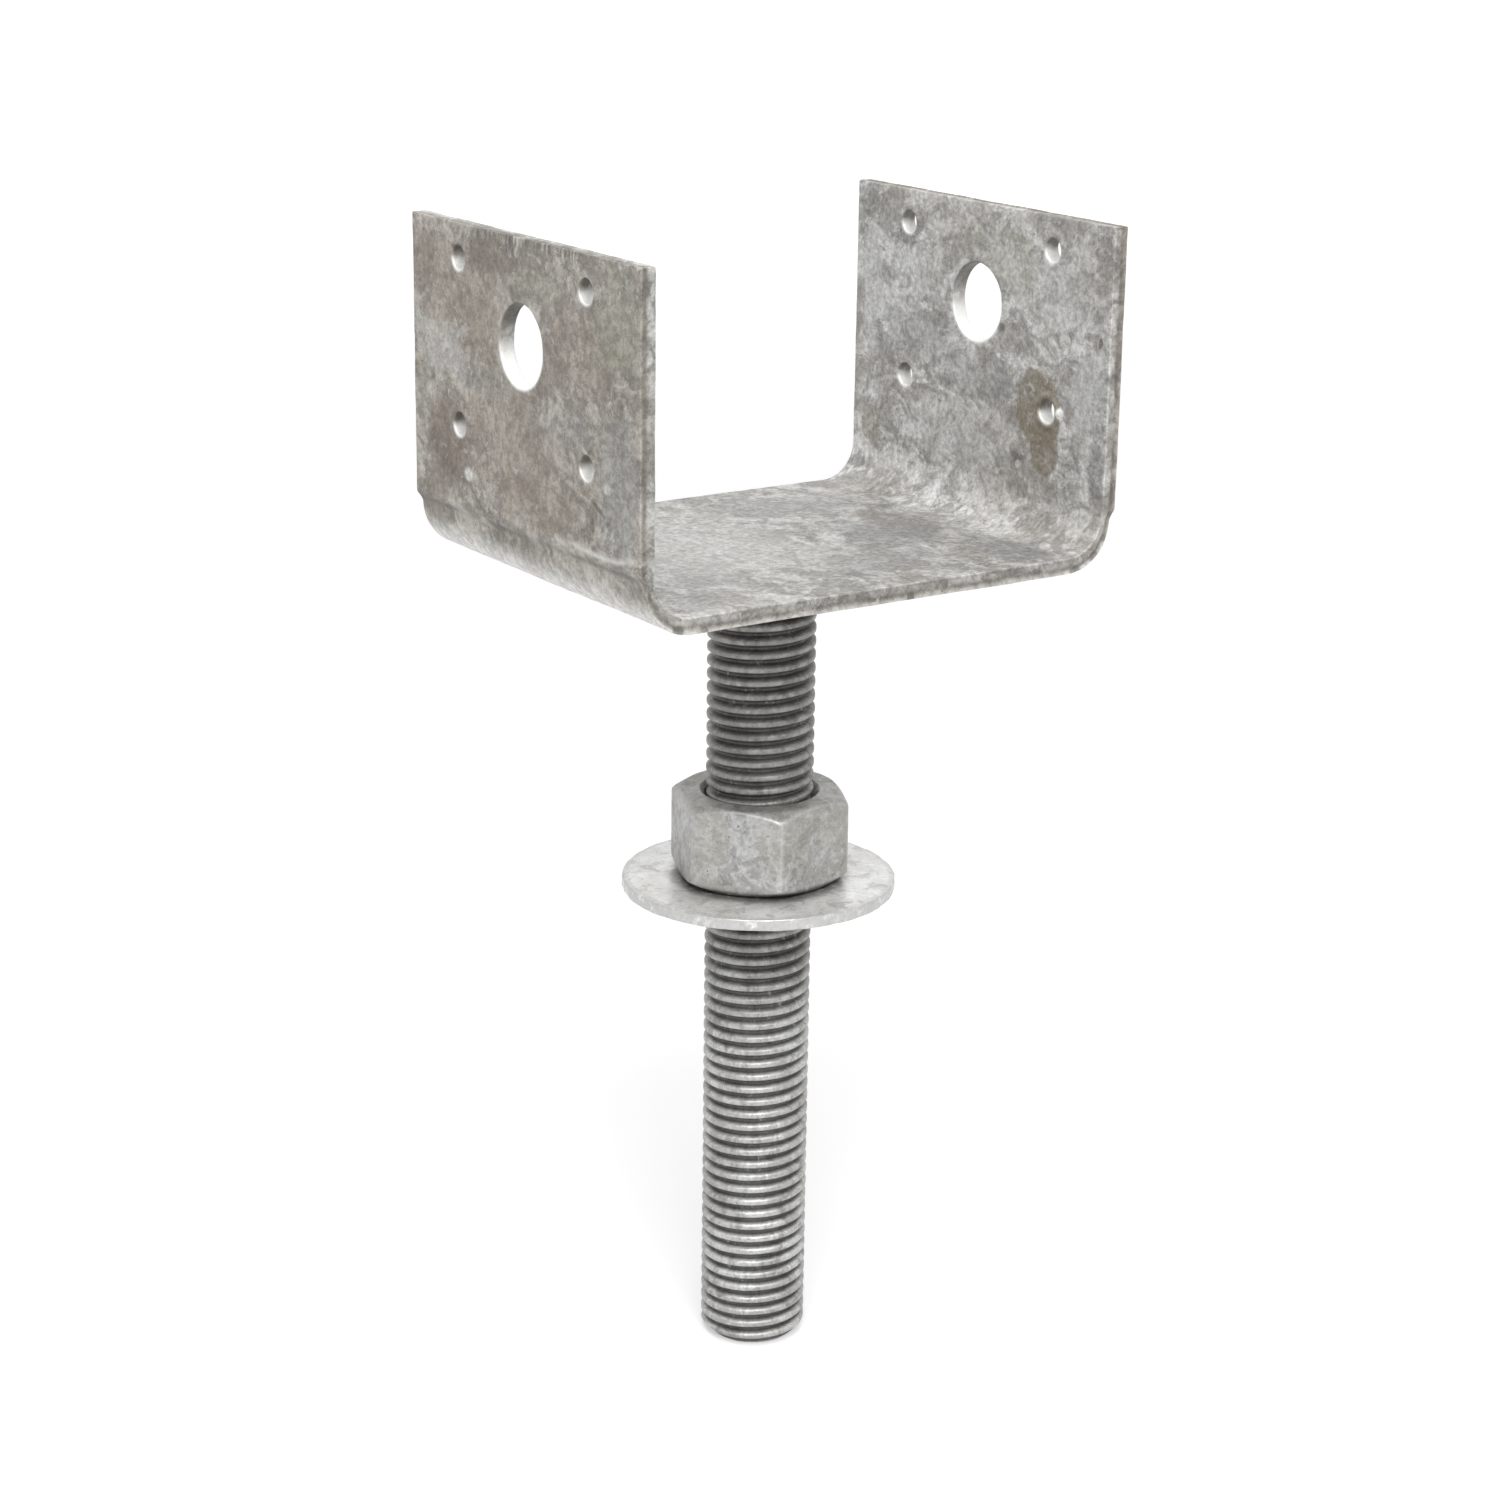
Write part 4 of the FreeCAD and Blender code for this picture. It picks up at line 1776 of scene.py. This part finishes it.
@dataclass(frozen=True)
class Studio:
    """Pale floor, soft light and the camera.

    Attributes:
        floor_height: of the floor, under the stud's end.
        target: what the camera is turned towards.
        azimuth: of the camera round the stud, in degrees.
        elevation: of the camera over the horizon, in degrees.
        roll: of the camera about its own axis, in degrees.
        distance: from the target.
        lens: focal length in millimetres.
        floor_half: half width of the floor.
        floor_tone: how pale the floor is.
        floor_glow: strength of its glow close to the object, and far from it.
        glow_reach: distances from the origin at which the glow begins to grow, and is full.
        sky_light: strength of the sky's light on things.
        lamps: the soft boxes.
    """

    floor_height: float
    target: Vector
    azimuth: float = -34.008
    elevation: float = 17.211
    roll: float = 0.770
    distance: float = 0.563892
    lens: float = 75.265
    floor_half: float = 8.0
    floor_tone: float = 0.62
    floor_glow: tuple[float, float] = (0.46, 0.95)
    glow_reach: tuple[float, float] = (0.35, 2.2)
    sky_light: float = 0.32
    lamps: tuple[SoftBox, ...] = (
        SoftBox("overhead", (-0.05, -0.15, 1.15), (0.0, 0.0, -0.05), 1.0, 9.0),
        SoftBox("key", (-0.40, -0.66, 0.80), (0.0, 0.0, -0.08), 0.6, 9.5),
    )

    def camera(self) -> None:
        """The camera, turned about the object by azimuth and elevation, and rolled a little."""
        azimuth, elevation, roll = map(math.radians, (self.azimuth, self.elevation, self.roll))
        level_out = math.cos(elevation)
        ahead = Vector((-math.sin(azimuth) * level_out, math.cos(azimuth) * level_out, -math.sin(elevation)))
        level = ahead.cross(Vector((0, 0, 1))).normalized()
        up = level.cross(ahead)
        right = math.cos(roll) * level + math.sin(roll) * up
        up = math.cos(roll) * up - math.sin(roll) * level
        turn = Matrix((right, up, -ahead)).transposed().to_4x4()
        lens = bpy.data.cameras.new("camera")
        lens.sensor_width = 36.0
        lens.lens = self.lens
        lens.clip_start, lens.clip_end = 0.01, 100.0
        camera = bpy.data.objects.new("camera", lens)
        camera.matrix_world = Matrix.Translation(self.target - ahead * self.distance) @ turn
        bpy.context.scene.collection.objects.link(camera)
        bpy.context.scene.camera = camera

    def floor(self) -> None:
        """A wide pale floor under the stud's end: lifted towards white for the eye, dimmed by shadow."""
        half, tone = self.floor_half, self.floor_tone
        mesh = bpy.data.meshes.new("floor")
        corners = [(-half, -half), (half, -half), (half, half), (-half, half)]
        mesh.from_pydata([(x, y, self.floor_height) for x, y in corners], [], [(0, 1, 2, 3)])
        floor = bpy.data.objects.new("floor", mesh)
        bpy.context.scene.collection.objects.link(floor)
        shader = Shader("floor_pale")
        rays = shader.node("ShaderNodeLightPath").outputs
        seen = shader.greater(rays["Is Camera Ray"], rays["Is Glossy Ray"])
        seen = shader.greater(seen, rays["Is Transmission Ray"])
        away = shader.ease(shader.length(shader.where()), *self.glow_reach)
        inputs = shader.surface.inputs
        shader.feed(inputs["Base Color"], (tone, tone, tone, 1.0))
        shader.feed(inputs["Roughness"], 0.9)
        shader.feed(inputs["Emission Color"], (1.0, 1.0, 1.0, 1.0))
        shader.feed(inputs["Emission Strength"], shader.times(seen, shader.between(away, *self.floor_glow)))
        mesh.materials.append(shader.material)

    def sky(self) -> None:
        """Plain even light from all round, seen as white by the eye and in reflections."""
        world = bpy.data.worlds.new("sky")
        world.use_nodes = True
        tree = world.node_tree
        tree.nodes.clear()
        rays = tree.nodes.new("ShaderNodeLightPath")
        seen = tree.nodes.new("ShaderNodeMath")
        seen.operation = "MAXIMUM"
        tree.links.new(rays.outputs["Is Camera Ray"], seen.inputs[0])
        tree.links.new(rays.outputs["Is Glossy Ray"], seen.inputs[1])
        strength = tree.nodes.new("ShaderNodeMapRange")
        tree.links.new(seen.outputs[0], strength.inputs["Value"])
        strength.inputs["To Min"].default_value = self.sky_light
        strength.inputs["To Max"].default_value = 1.0
        background = tree.nodes.new("ShaderNodeBackground")
        background.inputs["Color"].default_value = (1.0, 1.0, 1.0, 1.0)
        tree.links.new(strength.outputs[0], background.inputs["Strength"])
        output = tree.nodes.new("ShaderNodeOutputWorld")
        tree.links.new(background.outputs[0], output.inputs[0])
        bpy.context.scene.world = world

    def build(self) -> None:
        """Camera, floor, sky and lamps."""
        self.camera()
        self.floor()
        self.sky()
        for lamp in self.lamps:
            lamp.hang()
        bpy.context.scene.view_settings.view_transform = "Standard"


# ---------------------------------------------------------------------------------------------
# The whole
# ---------------------------------------------------------------------------------------------

SADDLE_ZINC = ZincFinish(
    name="saddle_zinc", slot="saddle_zinc",
    bright=(0.62, 0.617, 0.605), body=(0.34, 0.33, 0.315), dark=(0.125, 0.118, 0.107),
    warm=(0.34, 0.31, 0.27),
    warmth=0.34, specks=0.80, contrast=0.25, cloud=14.0 * MM, grain=Grain.SHEET,
    metallic=0.30, roughness=(0.36, 0.62), bump=0.12 * MM,
)
STUD_ZINC = ZincFinish(
    name="stud_zinc", slot="stud_zinc",
    bright=(0.60, 0.60, 0.59), body=(0.43, 0.425, 0.415), dark=(0.055, 0.052, 0.048), warm=(0.32, 0.29, 0.26),
    warmth=0.25, specks=0.7, contrast=0.14, cloud=9.0 * MM, grain=Grain.THREAD,
    metallic=0.45, roughness=(0.34, 0.58), bump=0.05 * MM,
)
NUT_ZINC = ZincFinish(
    name="nut_zinc", slot="nut_zinc",
    bright=(0.52, 0.52, 0.515), body=(0.36, 0.355, 0.345), dark=(0.10, 0.096, 0.09), warm=(0.37, 0.35, 0.29),
    warmth=0.35, specks=0.85, contrast=0.12, cloud=9.0 * MM, grain=Grain.EVEN,
    metallic=0.45, roughness=(0.32, 0.55), bump=0.05 * MM,
)
WASHER_ZINC = ZincFinish(
    name="washer_zinc", slot="washer_zinc",
    bright=(0.90, 0.90, 0.89), body=(0.78, 0.775, 0.76), dark=(0.20, 0.195, 0.185), warm=(0.70, 0.68, 0.62),
    warmth=0.3, specks=0.45, contrast=0.06, cloud=9.0 * MM, grain=Grain.EVEN,
    metallic=0.6, roughness=(0.24, 0.40), bump=0.05 * MM,
)
WELD_ZINC = ZincFinish(
    name="weld_zinc", slot="weld_zinc",
    bright=(0.50, 0.50, 0.48), body=(0.33, 0.325, 0.31), dark=(0.10, 0.095, 0.09), warm=(0.28, 0.24, 0.20),
    warmth=0.35, specks=0.9, contrast=0.15, cloud=7.0 * MM, grain=Grain.EVEN,
    metallic=0.4, roughness=(0.36, 0.6), bump=0.07 * MM,
)


THREAD_UNDER_BAR = 0.25 * MM    # how far the thread's crests lie inside the plain bar
CAMERA_TARGET = Vector((-2.2 * MM, 0.0, -38.04 * MM))


def mount(name: str) -> dict:
    """One of the record's mounts, by name."""
    return next(m for m in frame["record"]["mounts"] if m["name"] == name)


def main() -> None:
    """Build and dress every piece, then the studio round them."""
    logging.basicConfig(level=logging.INFO, format="%(name)s: %(message)s")
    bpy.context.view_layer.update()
    stud_low, stud_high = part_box("anchor_stud")
    thread = Thread(major=stud_high.x - THREAD_UNDER_BAR)
    saddle = PostSaddle(*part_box("post_saddle"), mount("post_bolt"), mount("right_screws"))
    assemblies = [
        (saddle, "post_saddle", "stirrup", SADDLE_ZINC),
        (AnchorStud(stud_low, stud_high, thread), "anchor_stud", "stirrup", STUD_ZINC),
        (WeldBead(*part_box("weld_bead"), stud_high.x), "weld_bead", "stirrup", WELD_ZINC),
        (LevellingNut(*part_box("levelling_nut"), thread), "levelling_nut", "nut", NUT_ZINC),
        (BearingWasher(*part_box("bearing_washer")), "bearing_washer", "washer", WASHER_ZINC),
    ]
    for assembly, node, body, finish in assemblies:
        piece = assembly.build()
        assembly.dress(piece, finish)
        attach(piece, body)
        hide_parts(node)
        log.info("%s stands for %s with %d points", piece.name, node, len(piece.data.vertices))
    Studio(floor_height=stud_low.z, target=CAMERA_TARGET).build()


if __name__ == "__main__":
    main()
